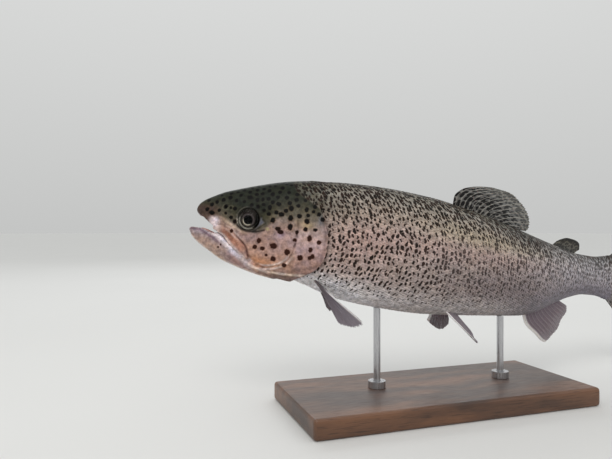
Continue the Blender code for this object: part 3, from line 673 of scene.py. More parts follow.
def body_colour(points):
    place, up, high = points[:, 0], points[:, 2], height_share(points)
    flank = shades(
        high,
        (-1.0, 196, 190, 191), (-0.80, 192, 184, 183), (-0.5, 174, 158, 152), (-0.1, 174, 158, 152),
        (0.25, 174, 158, 150), (0.50, 164, 150, 138), (0.80, 146, 140, 131), (0.93, 116, 112, 102),
        (1.0, 90, 87, 76),
    )
    tail = shades(
        high,
        (-1.0, 136, 130, 142), (-0.3, 162, 157, 166), (0.3, 184, 180, 186), (0.8, 166, 165, 167),
        (1.0, 94, 94, 93),
    )
    pink = bell(high, 0.12, 0.22) * ramp(place, 0.2, 0.3) * ramp(place, 0.80, 0.62)
    warm = bell(place, 0.28, 0.09) * bell(high, -0.05, 0.55)
    gold = bell(high, 0.42, 0.16) * ramp(place, 0.35, 0.50) * ramp(place, 0.80, 0.66)
    # painted shade: purple-grey on the lower flank, and on the lower rear towards the tail
    shade = bell(place, 0.58, 0.15) * bell(high, -0.40, 0.38)
    low_rear_shade = ramp(place, 0.57, 0.68) * ramp(high, -0.30, -0.75)
    dusk = bell(place, 0.645, 0.085) * ramp(high, 0.30, 0.85)
    shoulder = bell(place, 0.26, 0.075) * bell(high, -0.85, 0.25)
    # painted shadow: a dark band on the body just behind the gill covers' rear edge
    gill_edge_shadow = bell(place - GILL(up), 0.0015, 0.0042) * ramp(up, 0.050, 0.034) * ramp(up, -0.070, -0.055)
    return layered(
        flank,
        ((186, 146, 140), 0.30 * pink),
        ((184, 148, 138), 0.45 * warm),
        ((176, 164, 132), 0.35 * gold),
        (tail, 0.85 * ramp(place, 0.52, 0.86)),
        ((98, 88, 94), 0.66 * shade),
        ((86, 80, 92), 0.62 * low_rear_shade),
        ((68, 71, 66), 0.70 * dusk),
        ((240, 238, 242), 0.80 * shoulder),
        ((80, 66, 63), 0.60 * gill_edge_shadow),
        ((66, 67, 54), 0.80 * nape(points)),
    )


def head_colour(points):
    place, side, up = points.T
    flat = points[:, [0, 2]]
    cheek = shades(
        up,
        (-0.080, 150, 125, 116), (-0.055, 174, 138, 120), (-0.035, 178, 144, 130), (-0.012, 158, 130, 123),
        (0.020, 150, 128, 118), (0.040, 140, 124, 110),
    )
    cover = shades(
        up,
        (-0.070, 152, 122, 112), (-0.045, 164, 134, 126), (-0.025, 176, 148, 146), (0.0, 190, 163, 157),
        (0.030, 150, 132, 121), (0.045, 120, 108, 94),
    )
    orange = oval(place, up, (0.126, -0.053), (0.024, 0.010))
    edge, _ = distance_to(flat, GILL_EDGE_LINE)
    rear = ramp(up, -0.060, -0.030)
    # painted shade on the underside of the head, below the gill covers' lower edges
    below = ramp(up, -0.064, -0.072) * ramp(place, 0.115, 0.140)
    lower_edge, _ = distance_to(flat, COVER_LOWER_EDGE)
    ridge, along_ridge = distance_to(flat, PREOPERCLE)
    # painted highlight: a pale line along the lower part of the preopercle's raised ridge
    ridge_highlight = bell(ridge, 0.0034, 0.0018) * ramp(along_ridge, 0.35, 0.6) * ramp(along_ridge, 1.0, 0.82)
    broken = 0.6 + 0.4 * np.sin(along_ridge * 46)
    ridge_dark = broken * bell(ridge, 0, 0.0018) * ramp(along_ridge, 0.60, 0.3)
    crown = up - Line(CROWN_EDGE)(place)
    crown_blend = 0.006 + 0.08 * np.maximum(place - 0.14, 0)
    stripe, along_stripe = distance_to(flat, PALE_STRIPE)
    # round each nostril a darker olive ring, and its pit painted near-black as shade inside the opening
    nostrils = []
    for distance in from_nostrils(place, up):
        outside = np.abs(side) > 0.006
        nostrils.append(((86, 84, 70), 0.7 * outside * bell(distance, 1.45, 0.35)))
        nostrils.append(((16, 15, 13), outside * ramp(distance, 1.1, 0.6)))
    return layered(
        cheek,
        (cover, ramp(place, 0.172, 0.188)),
        ((190, 132, 92), 0.75 * orange),
        ((120, 98, 96), 0.6 * rear * bell(edge, 0.0030, 0.0045)),
        ((186, 160, 154), 0.7 * rear * bell(edge, 0.0, 0.0014)),
        ((118, 98, 92), 0.7 * below),
        ((226, 206, 192), 0.85 * bell(lower_edge, 0, 0.0022)),
        ((240, 220, 210), 0.7 * ridge_highlight),
        ((54, 32, 30), 0.9 * ridge_dark),
        ((96, 89, 76), ramp(crown, -crown_blend, crown_blend)),
        ((60, 59, 46), ramp(crown, 0.003, 0.024)),
        ((38, 41, 33), ramp(crown, 0.014, 0.046)),
        ((206, 184, 162), 0.75 * bell(stripe, 0, 0.0024) * bell(along_stripe, 0.5, 0.45)),
        ((184, 156, 153), 0.65 * bell(place, 0.160, 0.015) * bell(up, -0.010, 0.016)),
        ((140, 124, 150), 0.60 * oval(place, up, (0.154, 0.0015), (0.0075, 0.0065))),
        ((108, 101, 86), 0.55 * oval(place, up, (0.180, 0.038), (0.034, 0.016))),
        ((164, 150, 108), 0.5 * oval(place, up, (0.198, 0.022), (0.012, 0.007))),
        ((102, 106, 112), 0.55 * oval(place, up, (0.219, 0.033), (0.0055, 0.0110))),
        ((70, 50, 46), 0.75 * ramp(place, 0.046, 0.024) * ramp(up, 0.044, 0.030)),
        *nostrils,
    )


def jaw_layers(points):
    """The lower jaw and the chin."""
    place, _, up = points.T
    below = JAW_TOP(place) - up
    over_bottom = up - JAW_BOTTOM(place)
    on_jaw = (-below < 0.003 + 0.009 * ramp(place, 0.024, 0.043)) & (over_bottom > -0.004) & (place < 0.125)
    jaw = on_jaw * ramp(place, 0.120, 0.090)
    paint = shades(
        below,
        (-0.002, 190, 176, 176), (0.0065, 184, 168, 170), (0.0120, 166, 146, 142), (0.0160, 166, 142, 134),
        (0.030, 170, 144, 132),
    )
    gleam = ramp(place, 0.024, 0.040) * ramp(place, 0.088, 0.066) * bell(below, -0.0015, 0.0062)
    streak = np.interp(place, (-0.012, 0.006, 0.025, 0.045), (0.0036, 0.0046, 0.0085, 0.0098))
    chin = ramp(over_bottom, 0.0060, 0.0015) * ramp(place, 0.150, 0.130) * (below > 0)
    return (
        (paint, jaw),
        ((236, 230, 240), 0.84 * jaw * gleam),
        ((98, 68, 84), 0.78 * jaw * bell(below, streak, 0.0032) * ramp(place, 0.062, 0.034)),
        ((150, 116, 114), 0.65 * jaw * ramp(place, 0.050, 0.074) * ramp(below, 0.005, 0.011)),
        ((214, 196, 186), 0.75 * chin),
    )


def lip_layers(points, normals):
    """The maxilla with the groove above it, and the upper lip."""
    place, side, up = points.T
    flat = points[:, [0, 2]]
    offset, along = offset_from(flat, [row[:2] for row in MAXILLA_LINE])
    across = offset / maxilla_half_width(along)
    strip = ramp(np.abs(across), 1.08, 0.85) * (np.abs(side) > 0.6 * HEAD.half_width(place))
    groove, along_groove = distance_to(flat, MAXILLA_GROOVE)
    groove_width = 0.0013 + 0.0009 * ramp(along_groove, 0.4, 0.8)
    groove_front = ramp(along_groove, 0.0, 0.2) * ramp(along_groove, 0.70, 0.35)
    outer = np.abs(normals[:, 1]) > 0.35
    lip, along_lip = distance_to(flat, UPPER_LIP)
    patch = oval(place, up, (0.0295, 0.0090), (0.0105, 0.0100))
    return (
        ((164, 122, 108), 0.95 * strip),
        ((148, 90, 62), 0.65 * strip * bell(along, 0.40, 0.20) * bell(across, 0.25, 0.6)),
        ((190, 160, 150), 0.7 * strip * ramp(along, 0.75, 0.95)),
        ((206, 188, 184), 0.9 * strip * ramp(across, -0.35, -0.75)),
        ((190, 172, 168), 0.8 * strip * ramp(along, 0.26, 0.10)),
        # painted shade: a dark red-brown line in the rear of the groove above the maxilla
        ((60, 26, 26), 0.9 * outer * bell(groove, 0, groove_width) * ramp(along_groove, 0.30, 0.55)),
        ((206, 184, 176), 0.65 * outer * bell(groove, 0.0032, 0.0018) * groove_front),
        ((184, 164, 156), 0.9 * outer * ramp(lip, 0.0042, 0.0012) * ramp(along_lip, 0.15, 0.45)),
        ((218, 204, 211), outer * ramp(patch, 0.10, 0.85)),
    )


def eye_layers(points):
    """The dark skin round the eye, with its pale rear corner."""
    place, _, up = points.T
    flat = points[:, [0, 2]]
    away = from_eye(place, up)
    arcs = bell(away, 1.14, 0.025) * ramp(place, 0.094, 0.080) * ramp(up, 0.010, 0.018)
    lid = bell(away, 1.045, 0.030) * ramp(place, 0.088, 0.080) * bell(up, 0.0140, 0.0065)
    # painted shade: a near-black line along the crease under the eye
    under_eye_shade, _ = distance_to(flat, UNDER_EYE_SHADE_LINE)
    reach, height = place - PALE_CORNER[0], up - PALE_CORNER[1]
    corner = np.maximum(np.abs(height) / 0.0074 + reach / 0.0082, -reach / 0.0100)
    outside = ramp(away, 0.98, 1.06)
    streak, _ = distance_to(flat, CORNER_STREAK)
    tuft = np.hypot((place - 0.1275) / 0.0035, (up - 0.0075) / 0.0030)
    slit = bell(place - 0.25 * (up - 0.02), 0.1130, 0.0011) * bell(up, 0.0215, 0.0085)
    return (
        ((44, 42, 38), 0.70 * ramp(away, 1.22, 1.02)),
        ((122, 116, 104), 0.6 * arcs),
        ((206, 198, 186), 0.8 * lid),
        ((24, 20, 17), 0.95 * bell(under_eye_shade, 0, 0.0019)),
        ((92, 93, 104), 0.9 * outside * ramp(corner, 0.98, 0.40)),
        ((158, 160, 168), 0.8 * outside * bell(streak, 0, 0.0012)),
        ((34, 33, 31), 0.8 * outside * bell(corner, 1.15, 0.20) * ramp(up, 0.030, 0.018)),
        ((150, 146, 104), 0.7 * ramp(tuft, 1.3, 0.5)),
        ((20, 22, 26), 0.85 * slit),
    )


def in_mouth(points, normals):
    """Which points line the mouth: those of its roof and of its floor."""
    place, side, up = points.T
    out, over_jaw, faces_up = np.abs(side), up - JAW_TOP(place), normals[:, 2]
    roof = (out < 0.72 * HEAD.half_width(place)) & (place > -0.004) & (over_jaw > 0.002) & (faces_up < 0.2)
    floor = (out < 0.72 * HALF_JAW(place)) & (place > -0.012) & (over_jaw < 0.001) & (faces_up > -0.1)
    floor &= up > JAW_BOTTOM(place) + 0.006
    return (roof | floor) & (place < MOUTH_END)


def head_paint(points, normals):
    """The finished colours of the head."""
    lining = np.tile(colour(188, 158, 156), (len(points), 1))
    lining = layered(lining, ((112, 62, 58), ramp(points[:, 0], 0.02, 0.075)))
    paint = layered(head_colour(points), *jaw_layers(points), *lip_layers(points, normals))
    paint = np.where(in_mouth(points, normals)[:, None], lining, paint)
    return layered(paint, *eye_layers(points))


def spot_field(points, side_sign):
    """The distance to the nearest bold spot of the head, as a share of that spot's radius."""
    place, side, up = points.T
    no_spot = np.full(len(points), 9.0)
    nearest = no_spot
    chance = np.random.default_rng(5)
    for spot_place, spot_up, radius in HEAD_SPOTS:
        shift = chance.normal(0, 0.0022, 2) if side_sign > 0 else np.zeros(2)
        stretch = chance.uniform(0.85, 1.15)
        distance = np.hypot((place - spot_place - shift[0]) * stretch, (up - spot_up - shift[1]) / stretch)
        nearest = np.minimum(nearest, distance / (BOLD_SPOT_SCALE * radius))
    for spot_place, spot_side, spot_up, radius in CROWN_SPOTS[side_sign]:
        distance = np.sqrt((place - spot_place) ** 2 + (side - spot_side) ** 2 + (up - spot_up) ** 2)
        nearest = np.minimum(nearest, distance / radius)
    return np.where(place < SPOTS_END, nearest, no_spot)


def scatter_crown_spots(side_sign):
    """Spots over the crown, kept apart from each other, from the bold ones and from the eye."""
    chance = np.random.default_rng(11 if side_sign > 0 else 7)
    crown_edge = Line(CROWN_EDGE)
    spots = []
    for _ in range(CROWN_SPOT_TRIES):
        place, arc = chance.uniform(0.010, 0.215), chance.uniform(0.002, 0.095)
        at = SHEET.point_at(np.array([place]), np.array([arc * STANDARD_LENGTH]), side_sign, 0.0)[0]
        flat = at[[0, 2]]
        taken = (
            flat[1] < crown_edge(place) + 0.006
            or behind_head(at[None, :])[0] > -0.005
            or from_eye(*flat) < 1.22
            or math.dist(flat, PALE_CORNER) < 0.0135
            or any(math.dist(at, spot[:3]) < CROWN_SPOT_SPACING for spot in spots)
            or any(math.dist(flat, bold[:2]) < 0.0095 for bold in HEAD_SPOTS)
        )
        if not taken:
            spots.append((*at, chance.uniform(0.0026, 0.0039)))
    return spots


CROWN_SPOTS = {sign: scatter_crown_spots(sign) for sign in (-1, 1)}


def stroke_size(place, high, behind):
    """How large the strokes are: largest on the back, and none on the belly or on the head."""
    size = np.interp(
        high, (-1.0, -0.92, -0.80, -0.62, -0.3, 0.3, 0.6, 1.0), (-0.4, -0.4, 0.45, 0.80, 0.98, 1.05, 1.2, 1.5)
    )
    size += ramp(place, 0.55, 0.70) * np.where(high > 0, 0.15, 0.15 - 0.25 * ramp(high, 0.0, -0.5))
    return np.where(ramp(behind, -0.004, 0.002) > 0.5, size, -0.4)


def paint_fish(mesh, points, normals=None, scale=None):
    """Stores the colours and markings of the fish for the points of a piece, given in the straight fish.

    The skin gives its normals, and the scales where each point lies on its own scale.
    """
    place, high, behind = points[:, 0], height_share(points), behind_head(points)
    paint = body_colour(points)
    if scale is None:
        paint = layered(head_paint(points, normals), (paint, ramp(behind, -0.001, 0.001)))
        scale = np.zeros((len(points), 3))
    arc = SHEET.arc_at(points)
    spots = np.where(points[:, 1] > 0, spot_field(points, 1), spot_field(points, -1))
    fine = np.interp(high, (0.10, 0.70), (0.0, 1.0)) + 0.25 * ramp(place, 0.40, 0.60)
    fine = np.clip(fine + 0.7 * ramp(place, 0.60, 0.85), 0, 1)
    from_flank = np.abs(arc) - SHEET.flank(place)
    slanted = place * STANDARD_LENGTH + STROKE_SLANT * from_flank**2
    ink = 0.97 - 0.17 * ramp(place, 0.38, 0.50) * ramp(high, 0.60, 0.20) * ramp(place, 0.85, 0.65)
    ink -= 0.14 * ramp(place, 0.65, 0.85)
    store(mesh, "ground", np.column_stack([paint, ink]))
    store(mesh, "sheet", np.column_stack([slanted, arc, np.zeros(len(points))]))
    store(mesh, "marks", np.column_stack([stroke_size(place, high, behind), fine, spots]))
    store(mesh, "flesh", points * STANDARD_LENGTH)
    store(mesh, "scale", scale)


# ---------------------------------------------------------------- materials


class Graph:
    """A short way to write a material's nodes."""

    def __init__(self, name, **surface):
        self.material = bpy.data.materials.new(name)
        self.material.use_nodes = True
        self.tree = self.material.node_tree
        self.shader = self.tree.nodes["Principled BSDF"]
        for socket, value in surface.items():
            self.shader.inputs[socket.replace("_", " ")].default_value = value

    def node(self, kind, inputs, output=0, **settings):
        node = self.tree.nodes.new(kind)
        for name, value in settings.items():
            setattr(node, name, value)
        for socket, value in inputs.items():
            self.feed(node.inputs[socket], value)
        return node.outputs[output]

    def feed(self, socket, value):
        if isinstance(value, bpy.types.NodeSocket):
            self.tree.links.new(value, socket)
        else:
            socket.default_value = value

    def surface(self, socket, value):
        self.feed(self.shader.inputs[socket], value)

    def read(self, name, output="Vector"):
        return self.node("ShaderNodeAttribute", {}, output, attribute_name=name)

    def parts(self, vector):
        node = self.tree.nodes.new("ShaderNodeSeparateXYZ")
        self.feed(node.inputs[0], vector)
        return node.outputs

    def math(self, operation, a, b=0.0):
        return self.node("ShaderNodeMath", {0: a, 1: b}, operation=operation)

    def product(self, a, b):
        return self.math("MULTIPLY", a, b)

    def vector_math(self, operation, a, b):
        return self.node("ShaderNodeVectorMath", {0: a, 1: b}, operation=operation)

    def times(self, vector, factors):
        return self.vector_math("MULTIPLY", vector, factors)

    def shift(self, vector, offset, amount):
        scaled = self.node("ShaderNodeVectorMath", {0: offset, 3: amount}, operation="SCALE")
        return self.vector_math("ADD", vector, scaled)

    def noise(self, vector, scale, detail=2.0, output=0):
        inputs = {"Vector": vector, "Scale": scale, "Detail": detail}
        return self.node("ShaderNodeTexNoise", inputs, output)

    def cells(self, vector, output, randomness):
        inputs = {"Vector": vector, "Scale": 1.0, "Randomness": randomness}
        return self.node("ShaderNodeTexVoronoi", inputs, output, voronoi_dimensions="2D")

    def range(self, value, start, end, low=0.0, high=1.0):
        inputs = {0: value, 1: start, 2: end, 3: low, 4: high}
        return self.node("ShaderNodeMapRange", inputs, interpolation_type="SMOOTHSTEP")

    def mix(self, share, a, b, mode="MIX"):
        return self.node("ShaderNodeMix", {0: share, 6: a, 7: b}, 2, data_type="RGBA", blend_type=mode)

    def toned(self, share, ground, value):
        """A colour made lighter or darker by a value round 1."""
        grey = self.node("ShaderNodeCombineColor", {0: value, 1: value, 2: value})
        return self.mix(share, ground, grey, "MULTIPLY")

    def bump(self, height, strength, distance):
        inputs = {"Height": height, "Strength": strength, "Distance": distance}
        self.surface("Normal", self.node("ShaderNodeBump", inputs))


def rgba(*screen):
    return (*colour(*screen), 1.0)


def stroke_field(g, sheet, cell, half, spread):
    """How far each point is from the middle of its own stroke of pigment, where 1 is the stroke's edge.

    Each stroke has a cell of a loose grid. Cell and half are widths and heights in metres, and spread is the
    range of the strokes' sizes.
    """
    cells = g.times(sheet, (1 / cell[0], 1 / cell[1], 0.0))
    middle = g.cells(cells, "Position", STROKE_LOOSENESS)
    chance = g.parts(g.cells(cells, "Color", STROKE_LOOSENESS))
    away = g.vector_math("SUBTRACT", cells, middle)
    across, along, _ = g.parts(g.times(away, (cell[0] / half[0], cell[1] / half[1], 0.0)))
    lean = g.range(chance[1], 0.1, 0.9, -0.5, 0.5)
    across = g.math("ADD", across, g.product(along, lean))
    squares = g.math("ADD", g.product(across, across), g.product(along, along))
    return g.math("DIVIDE", g.math("SQRT", squares), g.range(chance[0], 0.0, 1.0, *spread))


def wandering(g, sheet, scale, amount):
    """The sheet's places, each moved a little, so that an outline on it turns ragged."""
    noise = g.noise(sheet, scale, output="Color")
    return g.shift(sheet, g.vector_math("SUBTRACT", noise, (0.5, 0.5, 0.5)), amount)


def fish_material(name, scaled):
    """The skin and its scales: the painted ground under strokes and spots of dark pigment."""
    g = Graph(
        name, Roughness=0.42, IOR=1.36, Specular_IOR_Level=0.12, Coat_Weight=0.02, Coat_Roughness=0.2,
        Subsurface_Weight=0.05, Subsurface_Radius=(0.003, 0.0014, 0.0010), Subsurface_Scale=0.4,
    )
    sheet, flesh = g.read("sheet"), g.read("flesh")
    size, fine, spots = g.parts(g.read("marks"))
    moved = wandering(g, sheet, 400.0, 0.0026)
    broad = stroke_field(g, moved, cell=(0.0038, 0.0049), half=(0.001, 0.0017), spread=(0.7, 1.25))
    small = stroke_field(g, moved, cell=(0.003, 0.0042), half=(0.00086, 0.0016), spread=(0.75, 1.2))
    field = g.node("ShaderNodeMix", {0: fine, 2: broad, 3: small}, 0, data_type="FLOAT")
    strokes = g.range(g.math("SUBTRACT", field, size), 0.16, -0.10)
    ragged = g.math("ADD", spots, g.range(g.noise(flesh, 900.0), 0.3, 0.7, -0.14, 0.14))
    halo = g.range(ragged, 1.55, 0.95)
    head_spots = g.range(ragged, 1.20, 0.88)

    ground = g.read("ground", "Color")
    warmth = g.range(g.noise(flesh, 130.0, 3.0), 0.35, 0.65)
    warm_share = 0.35 if scaled else 1.0
    tint = g.mix(warmth, (0.94, 0.96, 1.03, 1.0), (1.06, 1.01, 0.95, 1.0))
    ground = g.mix(warm_share, ground, tint, "MULTIPLY")
    mottle = (0.74, 1.24) if scaled else (0.64, 1.32)
    ground = g.toned(0.9, ground, g.range(g.noise(flesh, 320.0, 4.0), 0.3, 0.7, *mottle))
    ground = g.toned(0.5, ground, g.range(g.noise(flesh, 1500.0, 3.0), 0.25, 0.75, 0.6, 1.4))
    if scaled:
        along, _, chance = g.parts(g.read("scale"))
        ground = g.toned(1.0, ground, g.range(chance, 0.0, 1.0, 0.82, 1.16))
        # painted glint: the rear rim of each scale is painted paler, as light catching the scale edges
        rim = g.range(along, 0.80, 0.98)
        ground = g.mix(g.product(rim, 0.28), ground, rgba(210, 202, 196))
        g.bump(g.math("SINE", g.product(along, 60.0)), 0.10, 0.0001)
    else:
        coarse = g.product(g.noise(flesh, 700.0), 1.5)
        g.bump(g.math("ADD", g.noise(flesh, 2600.0, 3.0), coarse), 0.35, 0.0002)
    dark = g.mix(g.range(g.noise(flesh, 300.0), 0.35, 0.65), rgba(43, 27, 20), rgba(20, 17, 14))
    painted = g.mix(g.product(strokes, g.read("ground", "Alpha")), ground, dark)
    painted = g.mix(g.product(halo, 0.55), painted, (0.50, 0.34, 0.26, 1.0), "MULTIPLY")
    spot_tint = g.mix(g.range(g.parts(flesh)[2], -0.003, 0.009), rgba(44, 18, 10), rgba(5, 4, 4))
    painted = g.mix(g.product(head_spots, 0.98), painted, spot_tint)
    g.surface("Base Color", painted)
    g.surface("Roughness", g.range(g.noise(flesh, 700.0), 0.3, 0.7, 0.34, 0.54))
    return g.material


def fin_material(name, spot_strength, see_through, ray_share=0.34):
    """A fin: pale rays in a thinner, darker web, with rows of dark spots."""
    g = Graph(
        name, Roughness=0.45, IOR=1.36, Specular_IOR_Level=0.2, Coat_Weight=0.04, Coat_Roughness=0.25,
        Subsurface_Weight=0.12, Subsurface_Radius=(0.003, 0.002, 0.0018), Subsurface_Scale=0.5,
    )
    sheet = g.read("sheet")
    ray, out, _ = g.parts(g.read("marks"))
    ground = g.read("ground", "Color")
    ground = g.toned(0.8, ground, g.range(g.noise(sheet, 800.0, 3.0), 0.3, 0.7, 0.75, 1.25))
    ground = g.mix(g.product(ray, ray_share), ground, rgba(190, 185, 176))
    moved = wandering(g, sheet, 300.0, 0.0022)
    field = stroke_field(g, moved, cell=(0.0034, 0.0054), half=(0.00152, 0.0024), spread=(0.75, 1.2))
    spots = g.product(g.range(field, 1.15, 0.90), g.range(ray, 0.95, 0.40, 0.25, 1.0))
    g.surface("Base Color", g.mix(g.product(spots, spot_strength), ground, rgba(16, 14, 14)))
    if see_through:
        clear = g.product(g.range(ray, 0.7, 0.1), g.range(out, 0.15, 0.9, 0.0, see_through))
        g.surface("Alpha", g.math("SUBTRACT", 1.0, clear))
    segments = g.math("SINE", g.product(g.parts(sheet)[1], 5200.0))
    g.bump(g.product(segments, ray), 0.25, 0.0002)
    return g.material


def colour_stops(g, value, *stops):
    """A colour ramp through rows of a place and its colour."""
    output = g.node("ShaderNodeValToRGB", {0: value})
    elements = output.node.color_ramp.elements
    for element, (place, *tint) in zip(elements, (stops[0], stops[-1])):
        element.position, element.color = place, rgba(*tint)
    for place, *tint in stops[1:-1]:
        elements.new(place).color = rgba(*tint)
    return output


def eye_material():
    """The iris and the black lens, from the distance to the eye's middle and the turn about it. The iris's
    pale rings are its own colour, painted bright below and in front as painted light, and dark above and
    behind as painted shade.
    """
    g = Graph("eye_iris", Roughness=0.5, IOR=1.33, Specular_IOR_Level=0.06)
    out, turn, back = g.parts(g.read("marks"))
    flecks = g.noise(g.read("sheet"), 1400.0, 4.0)
    out = g.math("ADD", out, g.range(flecks, 0.3, 0.7, -0.012, 0.012))
    # painted light and shade: the iris as if lit, below and in front, and the same rings in painted shade
    # above and behind
    lit_iris = colour_stops(
        g, out,
        (0.00, 3, 3, 4), (0.395, 3, 3, 4), (0.418, 246, 238, 222), (0.465, 224, 212, 190),
        (0.505, 70, 62, 52), (0.58, 92, 85, 75), (0.66, 38, 35, 31), (0.72, 46, 42, 38),
        (0.79, 226, 219, 206), (0.94, 204, 196, 182), (1.00, 70, 62, 54),
    )
    shaded_iris = colour_stops(
        g, out,
        (0.00, 3, 3, 4), (0.395, 3, 3, 4), (0.430, 40, 36, 34), (0.49, 82, 75, 74), (0.56, 76, 69, 68),
        (0.64, 42, 38, 35), (0.80, 50, 46, 41), (0.92, 32, 29, 26), (1.00, 12, 11, 10),
    )
    blotches = g.range(g.noise(g.read("sheet"), 330.0, 1.0), 0.48, 0.56)
    blotches = g.product(blotches, g.range(out, 0.56, 0.66))
    shaded_iris = g.mix(g.product(blotches, 0.85), shaded_iris, rgba(20, 14, 11))
    turn = g.math("ADD", turn, g.range(flecks, 0.3, 0.7, -0.25, 0.25))
    iris = g.mix(g.range(turn, 0.15, 0.85), shaded_iris, lit_iris)
    rear = g.product(g.range(back, 0.58, 0.74), 0.88)
    g.surface("Base Color", g.mix(rear, iris, rgba(15, 16, 15)))
    return g.material


def cornea_material():
    """Clear and wet: it shows what is behind it and mirrors the light."""
    g = Graph("eye_cornea")
    gloss = g.node("ShaderNodeBsdfGlossy", {"Roughness": 0.04, "Color": (0.35, 0.35, 0.35, 1)})
    clear = g.node("ShaderNodeBsdfTransparent", {})
    facing = g.node("ShaderNodeFresnel", {"IOR": 1.30})
    mixed = g.node("ShaderNodeMixShader", {0: facing, 1: clear, 2: gloss})
    g.feed(g.tree.nodes["Material Output"].inputs["Surface"], mixed)
    g.tree.nodes.remove(g.shader)
    return g.material


def tongue_material():
    g = Graph("tongue_flesh", Roughness=0.35, Coat_Weight=0.5, Coat_Roughness=0.1)
    sheet = g.read("sheet")
    patchy = g.range(g.noise(sheet, 500.0, 3.0), 0.3, 0.7)
    g.surface("Base Color", g.mix(patchy, rgba(178, 128, 122), rgba(205, 168, 160)))
    g.bump(g.noise(sheet, 2500.0), 0.4, 0.0003)
    return g.material


def wood_material():
    """Dark oiled walnut: long grain with pores."""
    g = Graph("stand_walnut", Roughness=0.42, Coat_Weight=0.25, Coat_Roughness=0.25)
    place = g.node("ShaderNodeTexCoord", {}, "Object")
    long = g.times(place, (6.0, 46.0, 46.0))
    bent = g.shift(long, g.noise(g.times(place, (9.0, 9.0, 9.0)), 1.0, output="Color"), 1.6)
    grain = g.noise(bent, 1.0, 5.0)
    fine = g.noise(g.times(place, (70.0, 1500.0, 1500.0)), 1.0, 3.0)
    base = g.mix(g.range(grain, 0.32, 0.68), rgba(58, 36, 24), rgba(112, 74, 48))
    base = g.mix(g.range(fine, 0.50, 0.72, 0.0, 0.55), base, rgba(34, 20, 13))
    g.surface("Base Color", base)
    g.surface("Roughness", g.range(fine, 0.3, 0.7, 0.34, 0.52))
    g.bump(fine, 0.25, 0.0002)
    return g.material


def steel_material():
    """Brushed stainless steel."""
    g = Graph("stand_steel", Metallic=1.0, Roughness=0.28)
    place = g.node("ShaderNodeTexCoord", {}, "Object")
    brushed = g.noise(g.times(place, (2500.0, 2500.0, 60.0)), 1.0)
    g.surface("Base Color", g.mix(g.range(brushed, 0.3, 0.7), rgba(168, 168, 172), rgba(204, 204, 206)))
    g.surface("Roughness", g.range(brushed, 0.3, 0.7, 0.20, 0.36))
    g.bump(brushed, 0.10, 0.0001)
    return g.material


# ---------------------------------------------------------------- the skin


def hollow(depth, side, half_width):
    """A trough of a depth along the middle, as wide as a half width to each side."""
    return depth * np.sqrt(np.clip(1 - (side / half_width) ** 2, 0, 1))


def head_rings():
    """The head, its rear rim lying along the edge of the gill covers, with the roof of the mouth hollowed."""
    snout = BACK_LINE[0][0]
    angle = turn_steps(96)
    steps = 90
    shares = [((i / steps) ** 1.6, 0.0, 0.0) for i in range(1, steps + 1)]
    # The rim turns inwards: each ring's share of the length, its growth and its way forwards in millimetres.
    inwards = [(1.0, -0.5, -0.2), (1.0, -1.4, 0.3), (1.0, -5.0, 2.0)]
    rings = []
    for share, grow, forwards in shares + inwards:
        place = np.full(len(angle), snout + (HEAD_END - snout) * share)
        for _ in range(4):
            _, up = HEAD.section(place, angle, grow * MILLIMETRE)
            place = snout + (GILL(up) - snout) * share
        side, up = HEAD.section(place - forwards * MILLIMETRE, angle, grow * MILLIMETRE)
        depth = 0.62 * (HEAD.widest(place) - HEAD.bottom(place))
        depth = depth * ramp(place, 0.000, 0.012) * ramp(place, MOUTH_END, 0.062)
        up = up + np.where(np.cos(angle) < -0.2, hollow(depth, side, 0.80 * HEAD.half_width(place)), 0)
        rings.append(np.stack([place - forwards * MILLIMETRE, side, up], axis=1))
    return ring_mesh(rings, (snout, 0, BACK_LINE[0][1]))


def jaw_rings():
    """The lower jaw with the floor of the mouth. Its rear end runs up into the head."""
    tip, end = JAW_UPPER_LINE[0][0], JAW_END
    angle = turn_steps(72)
    steps = 65
    upper_half = np.cos(angle) >= 0
    exponent = 2 / np.where(upper_half, JAW_UPPER_SQUARENESS, JAW_LOWER_SQUARENESS)
    rings = []
    for i in range(1, steps + 1):
        place = tip + (end - tip) * (i / steps) ** 1.7
        top = JAW_TOP(place) + 0.010 * ramp(place, 0.024, 0.043)  # a membrane closes the corner of the gape
        bottom = JAW_BOTTOM(place) + 0.016 * ramp(place, 0.148, end)
        half_width = HALF_JAW(place) * (1 - 0.45 * ramp(place, 0.120, end))
        middle = 0.6 * top + 0.4 * bottom
        reach = np.where(upper_half, top - middle, middle - bottom)
        side = half_width * power(np.sin(angle), exponent)
        up = middle + reach * power(np.cos(angle), exponent)
        depth = 0.52 * (top - bottom) * ramp(place, -0.016, 0.006) * ramp(place, MOUTH_END, 0.06)
        up = up - np.where(np.cos(angle) > 0.2, hollow(depth, side, 0.74 * half_width), 0)
        rings.append(np.stack([np.full(len(angle), place), side, up], axis=1))
    return ring_mesh(rings, (tip, 0, JAW_UPPER_LINE[0][1]))


def maxilla_rings(sign):
    """The strip of bone along the upper lip, which overhangs the lower jaw."""
    shares = np.linspace(0, 1, 40)
    centres = Curve([row[:2] for row in MAXILLA_LINE])(shares)
    rounded_ends = 0.35 + 0.65 * np.sqrt(np.clip(1 - ((shares - 0.5) / 0.5) ** 4, 0, 1))
    widths = maxilla_half_width(shares) * rounded_ends
    angle = turn_steps(24)
    rings = []
    for centre, run, width in zip(centres, unit(np.gradient(centres, axis=0)), widths):
        flat = centre + np.outer(power(np.cos(angle), 0.8) * width, (-run[1], run[0]))
        middle, half_depth = HEAD.half_width(centre[0]) * 0.96 - 0.00115, 0.00335
        side = sign * (middle + half_depth * power(np.sin(angle), 0.8))
        rings.append(np.stack([flat[:, 0], side, flat[:, 1]], axis=1))
    return ring_mesh(rings)


